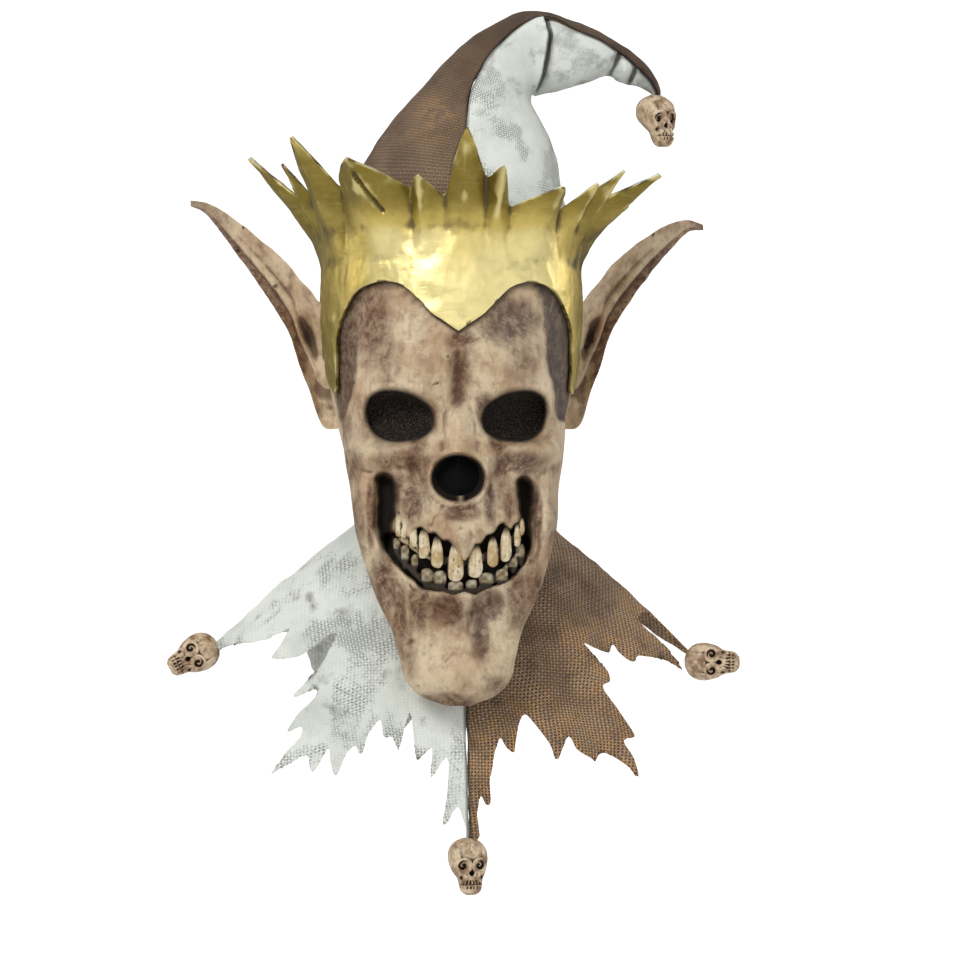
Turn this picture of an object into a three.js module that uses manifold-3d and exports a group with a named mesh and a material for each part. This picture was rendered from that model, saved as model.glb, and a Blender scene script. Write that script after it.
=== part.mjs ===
// A jester skull mask of latex that is pulled over the head: a hollow skull head, a gold crown,
// a bent hat in two colours, long ears, and a ragged collar in two colours with small skulls
// on its points. Millimetres. +Z is up, -Y is the front of the face, and +X is at the viewer's
// right. The origin is where the wearer's crown of the head touches the inside of the head.

import * as THREE from 'three';
import { mergeVertices } from 'three/addons/utils/BufferGeometryUtils.js';
import Module from 'manifold-3d';

const wasm = await Module();
wasm.setup();

// Driving sizes of the head
const HEAD_WIDTH = 206;
const HEAD_DEPTH = 238;
const FACE_LENGTH = 348;
const FACE_RELIEF = 20;
const LATEX = 3;
const RIM_HEIGHT = 32;

// Driving sizes of the openings in the face
const EYE_WIDTH = 52.5;
const EYE_HEIGHT = 39.2;
const EYE_SPACING = 91.2;
const NOSE_WIDTH = 44.6;
const NOSE_HEIGHT = 40;
const MESH_THICKNESS = 1;

// Driving sizes of the crown, the hat and the ears
const CROWN_LATEX = 3;
const CROWN_TOP = 111;
const CROWN_REACH = 168;
const CROWN_FLARE_START = 5;
const HAT_LATEX = 2.5;
const HAT_TOP = 216;
const HAT_REACH = 172;
const EAR_REACH = 110;
const EAR_HEIGHT = 180;
const EAR_SET_BACK = 26;
const EAR_TIP_LIFT = 9;
const EAR_LATEX = 4;

// Driving sizes of the collar, the teeth and the small skulls
const COLLAR_LATEX = 2.5;
const COLLAR_LENGTH = 235;
const COLLAR_FOLD = 5;
const COLLAR_BULGE = 6;
const TOOTH_THICKNESS = 6;
const GUM_RADIUS = 3.4;
const CHARM_HEIGHT = 43;
const CHARM_WIDTH = 31;
const CHARM_DEPTH = 32;
const CHARM_SINK = 3;

// Clearance between pieces that lie against each other
const GAP = 0.3;

// How far a piece that is cut by its neighbour first reaches into it
const LAP = 1;

// How far a cutting solid runs past what it cuts
const PAST = 10;

const HALF_WIDTH = HEAD_WIDTH / 2;
const HALF_DEPTH = HEAD_DEPTH / 2;

// Exponent of the rounded sections of the head, where 2 would be an ellipse
const ROUNDNESS = 2.3;

// Sections of the cranium and neck. down is a share of the face length below the origin, half a
// share of the half width, front and back shares of the half depth.
const CRANIUM = [
  { down: -RIM_HEIGHT / FACE_LENGTH, half: 0.97, front: -0.9, back: 0.95 },
  { down: 0, half: 1, front: -0.95, back: 1.03 },
  { down: 0.13, half: 1, front: -0.97, back: 1.06 },
  { down: 0.26, half: 0.96, front: -0.95, back: 1.04 },
  { down: 0.36, half: 0.89, front: -0.86, back: 0.95 },
  { down: 0.45, half: 0.81, front: -0.7, back: 0.8 },
  { down: 0.52, half: 0.73, front: -0.54, back: 0.64 },
  { down: 0.563, half: 0.68, front: -0.455, back: 0.57 },
];

// Sections of the face, jaw and chin, in the same shares. wide is where each is widest.
const FACE = [
  { down: 0.02, half: 0.8, front: -0.93, back: -0.05, wide: -0.3 },
  { down: 0.13, half: 0.86, front: -0.985, back: -0.05, wide: -0.32 },
  { down: 0.24, half: 0.87, front: -1.03, back: -0.05, wide: -0.36 },
  { down: 0.335, half: 0.875, front: -0.98, back: -0.05, wide: -0.38 },
  { down: 0.43, half: 0.85, front: -1, back: -0.1, wide: -0.42 },
  { down: 0.5, half: 0.81, front: -1.02, back: -0.17, wide: -0.48 },
  { down: 0.53, half: 0.8, front: -1.02, back: -0.3, wide: -0.55 },
  { down: 0.56, half: 0.79, front: -1.025, back: -0.49, wide: -0.66 },
  { down: 0.6, half: 0.77, front: -1.03, back: -0.52, wide: -0.7 },
  { down: 0.66, half: 0.715, front: -1.03, back: -0.56, wide: -0.76 },
  { down: 0.745, half: 0.62, front: -1.02, back: -0.62, wide: -0.8 },
  { down: 0.82, half: 0.5, front: -1.05, back: -0.67, wide: -0.84 },
  { down: 0.88, half: 0.445, front: -1.1, back: -0.73, wide: -0.9 },
  { down: 0.93, half: 0.4, front: -1.11, back: -0.79, wide: -0.94 },
  { down: 0.965, half: 0.29, front: -1.06, back: -0.86, wide: -0.96 },
  { down: 0.988, half: 0.1, front: -1, back: -0.93, wide: -0.965 },
];

// Raised and sunken forms of the face. across and wide are shares of the half width, down and
// tall shares of the face length, lift a share of the relief. A form off the middle has a twin.
const RELIEF = [
  { name: 'brow', across: 0.46, down: 0.262, wide: 0.3, tall: 0.045, lift: 0.25 },
  { name: 'frown', across: 0, down: 0.26, wide: 0.1, tall: 0.1, lift: -0.2 },
  { name: 'socket', across: 0.46, down: 0.336, wide: 0.34, tall: 0.085, lift: -0.45 },
  { name: 'bridge', across: 0, down: 0.4, wide: 0.16, tall: 0.09, lift: 0.4 },
  { name: 'nose rim', across: 0, down: 0.475, wide: 0.3, tall: 0.085, lift: 0.35 },
  { name: 'cheekbone', across: 0.62, down: 0.43, wide: 0.3, tall: 0.06, lift: 0.3 },
  { name: 'cheek hollow', across: 0.56, down: 0.535, wide: 0.14, tall: 0.1, lift: -1 },
  { name: 'upper jaw', across: 0, down: 0.55, wide: 0.5, tall: 0.12, lift: 0.4 },
  { name: 'chin', across: 0, down: 0.9, wide: 0.42, tall: 0.09, lift: 0.3 },
  { name: 'chin ridge', across: 0, down: 0.81, wide: 0.07, tall: 0.06, lift: 0.15 },
  { name: 'chin dip', across: 0.13, down: 0.8, wide: 0.1, tall: 0.06, lift: -0.2 },
];

// The mouth is a crescent groove whose ends turn up. gum is how far off its middle line a gum
// bar lies, as a share of its height.
const MOUTH = { down: 0.7, rise: 0.12, half: 0.56, tall: 0.046, lift: -0.6, gum: 0.7 };

// Teeth as shares: across the half width, root and tip down the face length, wide of half width
const UPPER_TEETH = [
  { across: -0.45, root: 0.556, tip: 0.606, wide: 0.047 },
  { across: -0.405, root: 0.563, tip: 0.611, wide: 0.042 },
  { across: -0.342, root: 0.582, tip: 0.63, wide: 0.05 },
  { across: -0.26, root: 0.595, tip: 0.655, wide: 0.078 },
  { across: -0.163, root: 0.613, tip: 0.676, wide: 0.078 },
  { across: -0.02, root: 0.627, tip: 0.706, wide: 0.1 },
  { across: 0.132, root: 0.63, tip: 0.698, wide: 0.093 },
  { across: 0.26, root: 0.613, tip: 0.674, wide: 0.072 },
  { across: 0.365, root: 0.593, tip: 0.662, wide: 0.074 },
  { across: 0.45, root: 0.582, tip: 0.63, wide: 0.042 },
  { across: 0.489, root: 0.568, tip: 0.605, wide: 0.036 },
];
const LOWER_TEETH = [
  { across: -0.462, root: 0.648, tip: 0.612, wide: 0.047 },
  { across: -0.404, root: 0.676, tip: 0.628, wide: 0.054 },
  { across: -0.334, root: 0.687, tip: 0.648, wide: 0.045 },
  { across: -0.233, root: 0.724, tip: 0.68, wide: 0.078 },
  { across: -0.135, root: 0.728, tip: 0.685, wide: 0.078 },
  { across: -0.023, root: 0.738, tip: 0.708, wide: 0.093 },
  { across: 0.093, root: 0.733, tip: 0.705, wide: 0.07 },
  { across: 0.21, root: 0.725, tip: 0.69, wide: 0.093 },
  { across: 0.334, root: 0.72, tip: 0.682, wide: 0.078 },
  { across: 0.419, root: 0.688, tip: 0.656, wide: 0.047 },
  { across: 0.482, root: 0.67, tip: 0.625, wide: 0.054 },
];

// Sections of a tooth from root to tip: wide and thick as shares of its width and thickness,
// forward as the share of the thickness by which it stands in front of its gum bar
const TOOTH_SECTIONS = [
  { along: 0, wide: 0.8, thick: 0.8, forward: 0.2 },
  { along: 0.7, wide: 1, thick: 0.9, forward: 0.45 },
  { along: 1, wide: 0.5, thick: 0.35, forward: 0.3 },
];

// How far each row of teeth is set back, as a share of the thickness of a tooth
const UPPER_ROW_BACK = -0.1;
const LOWER_ROW_BACK = 0.25;

// Height of the eyes and of the nose opening, as shares of the face length below the origin
const EYE_DOWN = 0.336;
const NOSE_DOWN = 0.476;

// Outline of the left eye opening as shares of its width and height, from its outer corner.
// outward runs away from the nose.
const EYE_OUTLINE = [
  { outward: 0.48, up: 0.32 },
  { outward: 0.41, up: 0.48 },
  { outward: 0.25, up: 0.5 },
  { outward: -0.08, up: 0.44 },
  { outward: -0.3, up: 0.32 },
  { outward: -0.46, up: 0.2 },
  { outward: -0.5, up: -0.08 },
  { outward: -0.44, up: -0.34 },
  { outward: -0.25, up: -0.45 },
  { outward: 0.04, up: -0.5 },
  { outward: 0.21, up: -0.48 },
  { outward: 0.38, up: -0.32 },
  { outward: 0.48, up: -0.02 },
];

// Spikes and notches of the crown, turned from the front towards +X in degrees. top is a share
// of the crown's top above the origin, reach a share of its reach from the middle of the head.
const SPIKES = [
  { turn: -172, top: 0.45, reach: 0.7 },
  { turn: -158, top: 0.7, reach: 0.9 },
  { turn: -142, top: 0.46, reach: 0.7 },
  { turn: -124, top: 0.72, reach: 0.9 },
  { turn: -110, top: 0.48, reach: 0.7 },
  { turn: -98, top: 0.89, reach: 0.98 },
  { turn: -89, top: 0.52, reach: 0.7 },
  { turn: -80, top: 0.82, reach: 0.82 },
  { turn: -75, top: 0.54, reach: 0.69 },
  { turn: -60, top: 0.96, reach: 0.88 },
  { turn: -50, top: 0.565, reach: 0.69 },
  { turn: -33, top: 0.745, reach: 0.945 },
  { turn: -18, top: 0.545, reach: 0.69 },
  { turn: -14, top: 0.634, reach: 0.786 },
  { turn: -5, top: 0.48, reach: 0.685 },
  { turn: 2, top: 1, reach: 0.774 },
  { turn: 11, top: 0.6, reach: 0.69 },
  { turn: 14, top: 0.72, reach: 0.82 },
  { turn: 20, top: 0.41, reach: 0.68 },
  { turn: 33, top: 0.56, reach: 0.88 },
  { turn: 44, top: 0.417, reach: 0.68 },
  { turn: 51, top: 0.62, reach: 0.85 },
  { turn: 55, top: 0.53, reach: 0.75 },
  { turn: 60, top: 0.735, reach: 0.925 },
  { turn: 66, top: 0.487, reach: 0.69 },
  { turn: 75, top: 0.717, reach: 1.015 },
  { turn: 92, top: 0.42, reach: 0.69 },
  { turn: 113, top: 0.567, reach: 0.96 },
  { turn: 128, top: 0.44, reach: 0.69 },
  { turn: 142, top: 0.64, reach: 0.9 },
  { turn: 158, top: 0.44, reach: 0.7 },
  { turn: 173, top: 0.72, reach: 0.92 },
];

// Lower edge of the crown on both sides of the face: a peak over the nose, an arch over each
// eye, a long point at each temple and a shallow hem behind. down is a share of the face length.
const CROWN_EDGE = [
  { turn: 0, down: 0.145 },
  { turn: 10, down: 0.103 },
  { turn: 20, down: 0.047 },
  { turn: 30, down: 0.032 },
  { turn: 42, down: 0.05 },
  { turn: 50, down: 0.097 },
  { turn: 56, down: 0.146 },
  { turn: 62, down: 0.27 },
  { turn: 74, down: 0.253 },
  { turn: 82, down: 0.19 },
  { turn: 88, down: 0.115 },
  { turn: 96, down: 0.063 },
  { turn: 120, down: 0.115 },
  { turn: 150, down: 0.135 },
  { turn: 180, down: 0.144 },
];

// How much further the crown stands out over the brow, as a share of the relief, and how far
// to each side of the peak, in degrees
const CROWN_PEAK_LIFT = 0.15;
const CROWN_PEAK_TURN = 30;

// How sharply the crown's spikes bend outwards, where 1 would be straight
const CROWN_BEND = 1.3;

// Sections of the bent hat as seen from the front: the outer and the inner end of each, as
// shares of the hat's reach and top. deep is its depth as a share of its width, back its shift
// behind the origin as a share of the half depth, seam where the colours meet across it.
const HAT = [
  { outerX: -0.419, outerZ: 0.418, innerX: 0.524, innerZ: 0.324, deep: 1.06, back: 0.025, seam: 0.45 },
  { outerX: -0.262, outerZ: 0.596, innerX: 0.505, innerZ: 0.437, deep: 1, back: 0.02, seam: 0.43 },
  { outerX: -0.095, outerZ: 0.747, innerX: 0.452, innerZ: 0.55, deep: 0.95, back: 0.01, seam: 0.35 },
  { outerX: 0.057, outerZ: 0.872, innerX: 0.39, innerZ: 0.634, deep: 0.95, back: 0, seam: 0.33 },
  { outerX: 0.214, outerZ: 0.958, innerX: 0.381, innerZ: 0.671, deep: 0.9, back: 0, seam: 0.27 },
  { outerX: 0.333, outerZ: 1, innerX: 0.395, innerZ: 0.686, deep: 0.8, back: 0, seam: 0.2 },
  { outerX: 0.467, outerZ: 1, innerX: 0.452, innerZ: 0.69, deep: 0.7, back: 0, seam: 0.1 },
  { outerX: 0.595, outerZ: 0.966, innerX: 0.548, innerZ: 0.709, deep: 0.75, back: 0, seam: 0.18 },
  { outerX: 0.714, outerZ: 0.924, innerX: 0.667, innerZ: 0.739, deep: 0.85, back: 0, seam: 0.23 },
  { outerX: 0.833, outerZ: 0.872, innerX: 0.752, innerZ: 0.762, deep: 0.85, back: 0, seam: 0.33 },
  { outerX: 0.905, outerZ: 0.826, innerX: 0.8, innerZ: 0.739, deep: 0.85, back: 0, seam: 0.36 },
  { outerX: 0.971, outerZ: 0.766, innerX: 0.895, innerZ: 0.717, deep: 0.9, back: 0, seam: 0.42 },
  { outerX: 1.005, outerZ: 0.709, innerX: 0.952, innerZ: 0.694, deep: 0.95, back: 0, seam: 0.5 },
  { outerX: 1, outerZ: 0.675, innerX: 0.962, innerZ: 0.675, deep: 1, back: 0, seam: 0.5 },
];

// Leaf of an ear from its root to its tip. out is a share of the ear's reach from the side of
// the head, top and low are shares of its height above the middle of its root.
const EAR = [
  { out: -0.1, top: 0.3, low: -0.27 },
  { out: 0, top: 0.3, low: -0.265 },
  { out: 0.05, top: 0.31, low: -0.22 },
  { out: 0.11, top: 0.36, low: -0.1 },
  { out: 0.19, top: 0.415, low: 0.02 },
  { out: 0.25, top: 0.465, low: 0.145 },
  { out: 0.37, top: 0.535, low: 0.275 },
  { out: 0.51, top: 0.605, low: 0.4 },
  { out: 0.62, top: 0.655, low: 0.49 },
  { out: 0.75, top: 0.705, low: 0.59 },
  { out: 0.88, top: 0.735, low: 0.68 },
  { out: 1, top: 0.73, low: 0.705 },
];

// Middle of an ear's root, as a share of the face length below the origin and of the half depth
const EAR_DOWN = 0.221;
const EAR_BACK = 0.12;

// How deep an ear is cupped, as a share of its width there
const EAR_CUP = 0.2;

// Where the two halves of the collar meet in front and behind, in degrees
const COLLAR_SEAM = 4.3;

// Slope of the collar below the horizontal at the shoulders, and what it gains at the front
const COLLAR_SLOPE = 41;
const COLLAR_STEEPER = 37;

// How much steeper its brown side falls over the shoulder
const COLLAR_BROWN_DROP = 3;

// Folds that run down the collar all the way round
const COLLAR_FOLDS = 9;

// Ragged edge of the collar: how far it runs down at each turn, as a share of its length
const COLLAR_EDGE = [
  { turn: -176, run: 0.84 }, { turn: -168, run: 0.72 }, { turn: -160, run: 0.82 },
  { turn: -152, run: 0.68 }, { turn: -144, run: 0.8 }, { turn: -135, run: 0.66 },
  { turn: -126, run: 0.76 }, { turn: -117, run: 0.62 }, { turn: -108, run: 0.68 },
  { turn: -100, run: 0.59 }, { turn: -90, run: 0.7 }, { turn: -84, run: 0.6 },
  { turn: -74, run: 0.51 }, { turn: -70, run: 0.6 }, { turn: -65, run: 0.57 },
  { turn: -61, run: 0.47 }, { turn: -59, run: 0.7 }, { turn: -57.5, run: 0.84 },
  { turn: -55, run: 0.98 }, { turn: -51, run: 0.88 }, { turn: -48, run: 0.94 },
  { turn: -45, run: 0.87 }, { turn: -42, run: 0.93 }, { turn: -36, run: 0.84 },
  { turn: -31, run: 0.72 }, { turn: -24, run: 0.83 }, { turn: -21, run: 0.7 },
  { turn: -17, run: 0.84 }, { turn: -13, run: 0.81 }, { turn: -11, run: 0.9 },
  { turn: -8, run: 0.84 }, { turn: -5, run: 1.04 }, { turn: -1, run: 1 },
  { turn: 3.7, run: 1.12 }, { turn: 5, run: 1.09 }, { turn: 8, run: 0.97 },
  { turn: 11, run: 0.99 }, { turn: 13, run: 0.88 }, { turn: 16, run: 0.8 },
  { turn: 20, run: 0.82 }, { turn: 25, run: 0.7 }, { turn: 31, run: 0.78 },
  { turn: 36, run: 0.86 }, { turn: 40, run: 0.8 }, { turn: 45, run: 0.91 },
  { turn: 48, run: 0.86 }, { turn: 54, run: 0.99 }, { turn: 57, run: 0.84 },
  { turn: 59, run: 0.68 }, { turn: 61, run: 0.49 }, { turn: 64, run: 0.57 },
  { turn: 68, run: 0.56 }, { turn: 72, run: 0.64 }, { turn: 77, run: 0.67 },
  { turn: 82, run: 0.76 }, { turn: 88, run: 0.62 }, { turn: 98, run: 0.66 },
  { turn: 106, run: 0.58 }, { turn: 115, run: 0.68 }, { turn: 124, run: 0.6 },
  { turn: 133, run: 0.74 }, { turn: 142, run: 0.64 }, { turn: 151, run: 0.78 },
  { turn: 160, run: 0.68 }, { turn: 168, run: 0.8 }, { turn: 176, run: 0.72 },
];

// Sections of a small skull from its top to its chin, as shares of its height, width and depth
const CHARM = [
  { down: 0, half: 0.3, front: -0.3, back: 0.35 },
  { down: 0.07, half: 0.66, front: -0.6, back: 0.75 },
  { down: 0.2, half: 0.92, front: -0.86, back: 1 },
  { down: 0.36, half: 1, front: -0.95, back: 1 },
  { down: 0.48, half: 0.95, front: -0.9, back: 0.86 },
  { down: 0.6, half: 0.84, front: -0.88, back: 0.5 },
  { down: 0.72, half: 0.64, front: -0.98, back: 0.2 },
  { down: 0.84, half: 0.58, front: -1, back: 0.05 },
  { down: 0.94, half: 0.5, front: -0.95, back: -0.1 },
  { down: 1, half: 0.3, front: -0.8, back: -0.25 },
];
const CHARM_RELIEF = [
  { name: 'socket', across: 0.44, down: 0.47, wide: 0.36, tall: 0.13, lift: -0.3 },
  { name: 'nose', across: 0, down: 0.6, wide: 0.2, tall: 0.09, lift: -0.16 },
  { name: 'cheek', across: 0.5, down: 0.68, wide: 0.25, tall: 0.08, lift: -0.12 },
];

// Where each small skull hangs: collar is the turn of a point of the collar, roll leans it about
// the Y axis and turn about the Z axis, in degrees. The one with no collar hangs on the hat.
const CHARMS = [
  { name: 'hat_skull', roll: 0, turn: 35 },
  { name: 'left_skull', collar: -90, roll: 62, turn: 0 },
  { name: 'right_skull', collar: 82, roll: -90, turn: 0 },
  { name: 'front_skull', collar: 3.7, roll: 0, turn: 12 },
];

// Steps round and along the meshed shapes
const HEAD_STEPS = 9;
const HEAD_RING_STEPS = 28;
const HOLLOW_STEPS = 7;
const HOLLOW_RING_STEPS = 18;
const NOSE_STEPS = 12;
const GUM_STEPS = 10;
const TOOTH_SIDES = 5;
const CROWN_ROWS = 4;
const HAT_STEPS = 18;
const HAT_COLUMNS = 8;
const EAR_COLUMNS = 6;
const COLLAR_ROWS = 4;
const CHARM_STEPS = 9;
const CHARM_SIDES = 10;

// Two points of an edge that lie closer than this, in degrees, are one point
const CLOSEST_TURN = 2.5;

const clamp = (value, low, high) => Math.min(Math.max(value, low), high);
const radians = THREE.MathUtils.degToRad;
const bump = (distance) => (distance >= 1 ? 0 : (1 - distance ** 2) ** 2);

// Value of a column between the rows of a table, so that the rows join smoothly
function between(rows, at, key, column) {
  let low = 0;
  while (low < rows.length - 2 && at > rows[low + 1][key]) low += 1;
  const slope = (index) => {
    const before = rows[Math.max(index - 1, 0)];
    const after = rows[Math.min(index + 1, rows.length - 1)];
    return (after[column] - before[column]) / (after[key] - before[key]);
  };
  const span = rows[low + 1][key] - rows[low][key];
  const t = clamp((at - rows[low][key]) / span, 0, 1);
  const rise = rows[low + 1][column] - rows[low][column];
  const start = slope(low) * span;
  const end = slope(low + 1) * span;
  return rows[low][column] + t * start + t ** 2 * (3 * rise - 2 * start - end)
    + t ** 3 * (start + end - 2 * rise);
}

// Value of a column between the rows of a table, in straight lines
function straight(rows, at, key, column) {
  let low = 0;
  while (low < rows.length - 2 && at > rows[low + 1][key]) low += 1;
  const t = clamp((at - rows[low][key]) / (rows[low + 1][key] - rows[low][key]), 0, 1);
  return THREE.MathUtils.lerp(rows[low][column], rows[low + 1][column], t);
}

// Point of a section. Turn 0 is its front and a quarter turn its +X side.
function sectionPoint(section, turn, z) {
  const across = Math.sign(Math.sin(turn)) * Math.abs(Math.sin(turn)) ** (2 / ROUNDNESS);
  const along = Math.abs(Math.cos(turn)) ** (2 / ROUNDNESS);
  const end = Math.cos(turn) > 0 ? section.front : section.back;
  return new THREE.Vector3(section.half * across, section.wide + along * (end - section.wide), z);
}

// Closed solid from a position list and a triangle list, turned the right way out
function solidFrom(points, triangles) {
  const geometry = new THREE.BufferGeometry();
  geometry.setAttribute('position', new THREE.Float32BufferAttribute(
    points.flatMap((point) => [point.x, point.y, point.z]), 3));
  let volume = 0;
  for (const [a, b, c] of triangles) {
    volume += points[a].dot(new THREE.Vector3().crossVectors(points[b], points[c]));
  }
  const facing = volume > 0 ? triangles : triangles.map(([a, b, c]) => [a, c, b]);
  geometry.setIndex(facing.flat());
  return asSolid(geometry);
}

function asSolid(geometry) {
  geometry.deleteAttribute('normal');
  geometry.deleteAttribute('uv');
  const merged = mergeVertices(geometry, 1e-4);
  return new wasm.Manifold(new wasm.Mesh({
    numProp: 3,
    vertProperties: new Float32Array(merged.getAttribute('position').array),
    triVerts: new Uint32Array(merged.getIndex().array),
  }));
}

// Solid through a list of closed rings of points, with flat ends
function loft(rings) {
  const count = rings[0].length;
  const points = rings.flat();
  const triangles = [];
  for (let ring = 0; ring < rings.length - 1; ring += 1) {
    for (let step = 0; step < count; step += 1) {
      const next = (step + 1) % count;
      const a = ring * count + step;
      const b = ring * count + next;
      triangles.push([a, b, b + count], [a, b + count, a + count]);
    }
  }
  const ends = [{ from: 0, turned: true }, { from: (rings.length - 1) * count, turned: false }];
  for (const { from, turned } of ends) {
    const middle = new THREE.Vector3();
    for (let step = 0; step < count; step += 1) middle.add(points[from + step]);
    points.push(middle.divideScalar(count));
    for (let step = 0; step < count; step += 1) {
      const a = from + step;
      const b = from + (step + 1) % count;
      triangles.push(turned ? [b, a, points.length - 1] : [a, b, points.length - 1]);
    }
  }
  return solidFrom(points, triangles);
}

// Solid between an outer and an inner grid of points of the same size
function wall(outer, inner, wraps) {
  const rows = outer.length;
  const count = outer[0].length;
  const points = [...outer.flat(), ...inner.flat()];
  const shift = rows * count;
  const triangles = [];
  const quad = (a, b, c, d) => triangles.push([a, b, c], [a, c, d]);
  const steps = wraps ? count : count - 1;
  for (let row = 0; row < rows - 1; row += 1) {
    for (let step = 0; step < steps; step += 1) {
      const a = row * count + step;
      const b = row * count + (step + 1) % count;
      quad(a, b, b + count, a + count);
      quad(shift + b, shift + a, shift + a + count, shift + b + count);
    }
    if (!wraps) {
      const first = row * count;
      const last = first + count - 1;
      quad(first + count, shift + first + count, shift + first, first);
      quad(last, shift + last, shift + last + count, last + count);
    }
  }
  for (let step = 0; step < steps; step += 1) {
    const a = step;
    const b = (step + 1) % count;
    const c = (rows - 1) * count + step;
    const d = (rows - 1) * count + (step + 1) % count;
    quad(b, a, shift + a, shift + b);
    quad(c, d, shift + d, shift + c);
  }
  return solidFrom(points, triangles);
}

// Grid moved along its own normals. The normals of a ring grid point away from its middle.
function offsetGrid(grid, distance, wraps) {
  const count = grid[0].length;
  const normals = grid.map((row, index) => row.map((point, step) => {
    const before = wraps ? row[(step + count - 1) % count] : row[Math.max(step - 1, 0)];
    const after = wraps ? row[(step + 1) % count] : row[Math.min(step + 1, count - 1)];
    const above = grid[Math.max(index - 1, 0)][step];
    const below = grid[Math.min(index + 1, grid.length - 1)][step];
    const along = new THREE.Vector3().subVectors(after, before);
    const down = new THREE.Vector3().subVectors(below, above);
    return along.cross(down).normalize();
  }));
  return grid.map((row, index) => row.map((point, step) => (
    point.clone().addScaledVector(normals[index][step], distance))));
}

// Shares of a count of even steps, both ends included
const shares = (count) => Array.from({ length: count + 1 }, (unused, index) => index / count);

// A neighbour that is thickened by the clearance on every side, for cutting
function grown(solid) {
  const moves = [[GAP, 0, 0], [-GAP, 0, 0], [0, GAP, 0], [0, -GAP, 0], [0, 0, GAP], [0, 0, -GAP]];
  return moves.map((move) => solid.translate(move)).reduce((sum, copy) => sum.add(copy));
}

// Section of the cranium at a height, moved out by a distance
function craniumSection(z, out) {
  const down = -z / FACE_LENGTH;
  return {
    half: between(CRANIUM, down, 'down', 'half') * HALF_WIDTH + out,
    front: between(CRANIUM, down, 'down', 'front') * HALF_DEPTH - out,
    back: between(CRANIUM, down, 'down', 'back') * HALF_DEPTH + out,
    wide: 0,
  };
}

const NECK_HEIGHT = -CRANIUM.at(-1).down * FACE_LENGTH;

// The cranium and neck as a solid tube, moved out by a distance and run past its two ends
function cranium(out, above, below, steps, ringSteps) {
  const turns = shares(ringSteps).slice(0, -1).map((share) => share * 2 * Math.PI);
  const heights = shares(steps).map((share) => (
    THREE.MathUtils.lerp(RIM_HEIGHT, NECK_HEIGHT, share)));
  if (above > 0) heights.unshift(RIM_HEIGHT + above);
  if (below > 0) heights.push(NECK_HEIGHT - below);
  return loft(heights.map((z) => {
    const section = craniumSection(clamp(z, NECK_HEIGHT, RIM_HEIGHT), out);
    return turns.map((turn) => sectionPoint(section, turn, z));
  }));
}

// Height of the raised and sunken forms of the face at a place on it
function faceRelief(x, z) {
  const across = x / HALF_WIDTH;
  const down = -z / FACE_LENGTH;
  let lift = 0;
  for (const form of RELIEF) {
    const side = Math.abs(across) - form.across;
    lift += form.lift * bump(Math.hypot(side / form.wide, (down - form.down) / form.tall));
  }
  const curl = across / MOUTH.half;
  if (Math.abs(curl) < 1) {
    const tall = MOUTH.tall * Math.sqrt(1 - curl ** 2);
    lift += MOUTH.lift * bump(Math.abs(down - MOUTH.down + MOUTH.rise * curl ** 2) / tall);
  }
  return lift * FACE_RELIEF;
}

function faceSection(z) {
  const down = -z / FACE_LENGTH;
  return {
    half: between(FACE, down, 'down', 'half') * HALF_WIDTH,
    front: between(FACE, down, 'down', 'front') * HALF_DEPTH,
    back: between(FACE, down, 'down', 'back') * HALF_DEPTH,
    wide: between(FACE, down, 'down', 'wide') * HALF_DEPTH,
  };
}

// How far back the front of the face lies at a place on it
function faceDepth(x, z) {
  const section = faceSection(z);
  const across = clamp(Math.abs(x) / section.half, 0, 1);
  const along = (1 - across ** ROUNDNESS) ** (1 / ROUNDNESS);
  const relief = faceRelief(x, z) * clamp(2 * along, 0, 1);
  return section.wide + along * (section.front - section.wide) - relief;
}

// Turns round a face section, close together in front and few behind
function faceTurns(frontSteps, backSteps) {
  const front = shares(frontSteps).map((share) => {
    const place = 2 * share - 1;
    const across = 0.5 * place + 0.5 * Math.sin(place * Math.PI / 2);
    return Math.asin(Math.sign(across) * Math.abs(across) ** (ROUNDNESS / 2));
  });
  const back = shares(backSteps).slice(1, -1).map((share) => Math.PI / 2 + share * Math.PI);
  return [...front, ...back];
}

// The face, jaw and chin as a grid of points, from one share down the face to another
function faceGrid(steps, frontSteps, backSteps, top, bottom) {
  const turns = faceTurns(frontSteps, backSteps);
  return shares(steps).map((share) => {
    const z = -THREE.MathUtils.lerp(top, bottom, share) * FACE_LENGTH;
    const section = faceSection(z);
    return turns.map((turn) => {
      const point = sectionPoint(section, turn, z);
      if (Math.cos(turn) > 0) point.y -= faceRelief(point.x, z) * clamp(2 * Math.cos(turn), 0, 1);
      return point;
    });
  });
}

const FACE_TOP = FACE[0].down;
const FACE_BOTTOM = FACE.at(-1).down;

// How far short of the face's ends its hollow stops, as a share of the face length
const HOLLOW_STOP = 0.03;

const outerFace = faceGrid(26, 20, 5, FACE_TOP, FACE_BOTTOM);
const hollowFace = faceGrid(13, 12, 4, FACE_TOP + HOLLOW_STOP, FACE_BOTTOM - HOLLOW_STOP);

// Column along Y inside an outline of places on the face
function column(outline, front, back) {
  const ring = (y) => outline.map((place) => new THREE.Vector3(place.x, y, place.z));
  return loft([ring(front), ring(back)]);
}

function eyeOutline(side, scale) {
  return EYE_OUTLINE.map(({ outward, up }) => ({
    x: side * (EYE_SPACING / 2 + outward * EYE_WIDTH * scale),
    z: -EYE_DOWN * FACE_LENGTH + up * EYE_HEIGHT * scale,
  }));
}

function noseOutline(scale) {
  return shares(NOSE_STEPS).slice(0, -1).map((share) => ({
    x: Math.sin(share * 2 * Math.PI) * NOSE_WIDTH / 2 * scale,
    z: -NOSE_DOWN * FACE_LENGTH + Math.cos(share * 2 * Math.PI) * NOSE_HEIGHT / 2 * scale,
  }));
}

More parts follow.
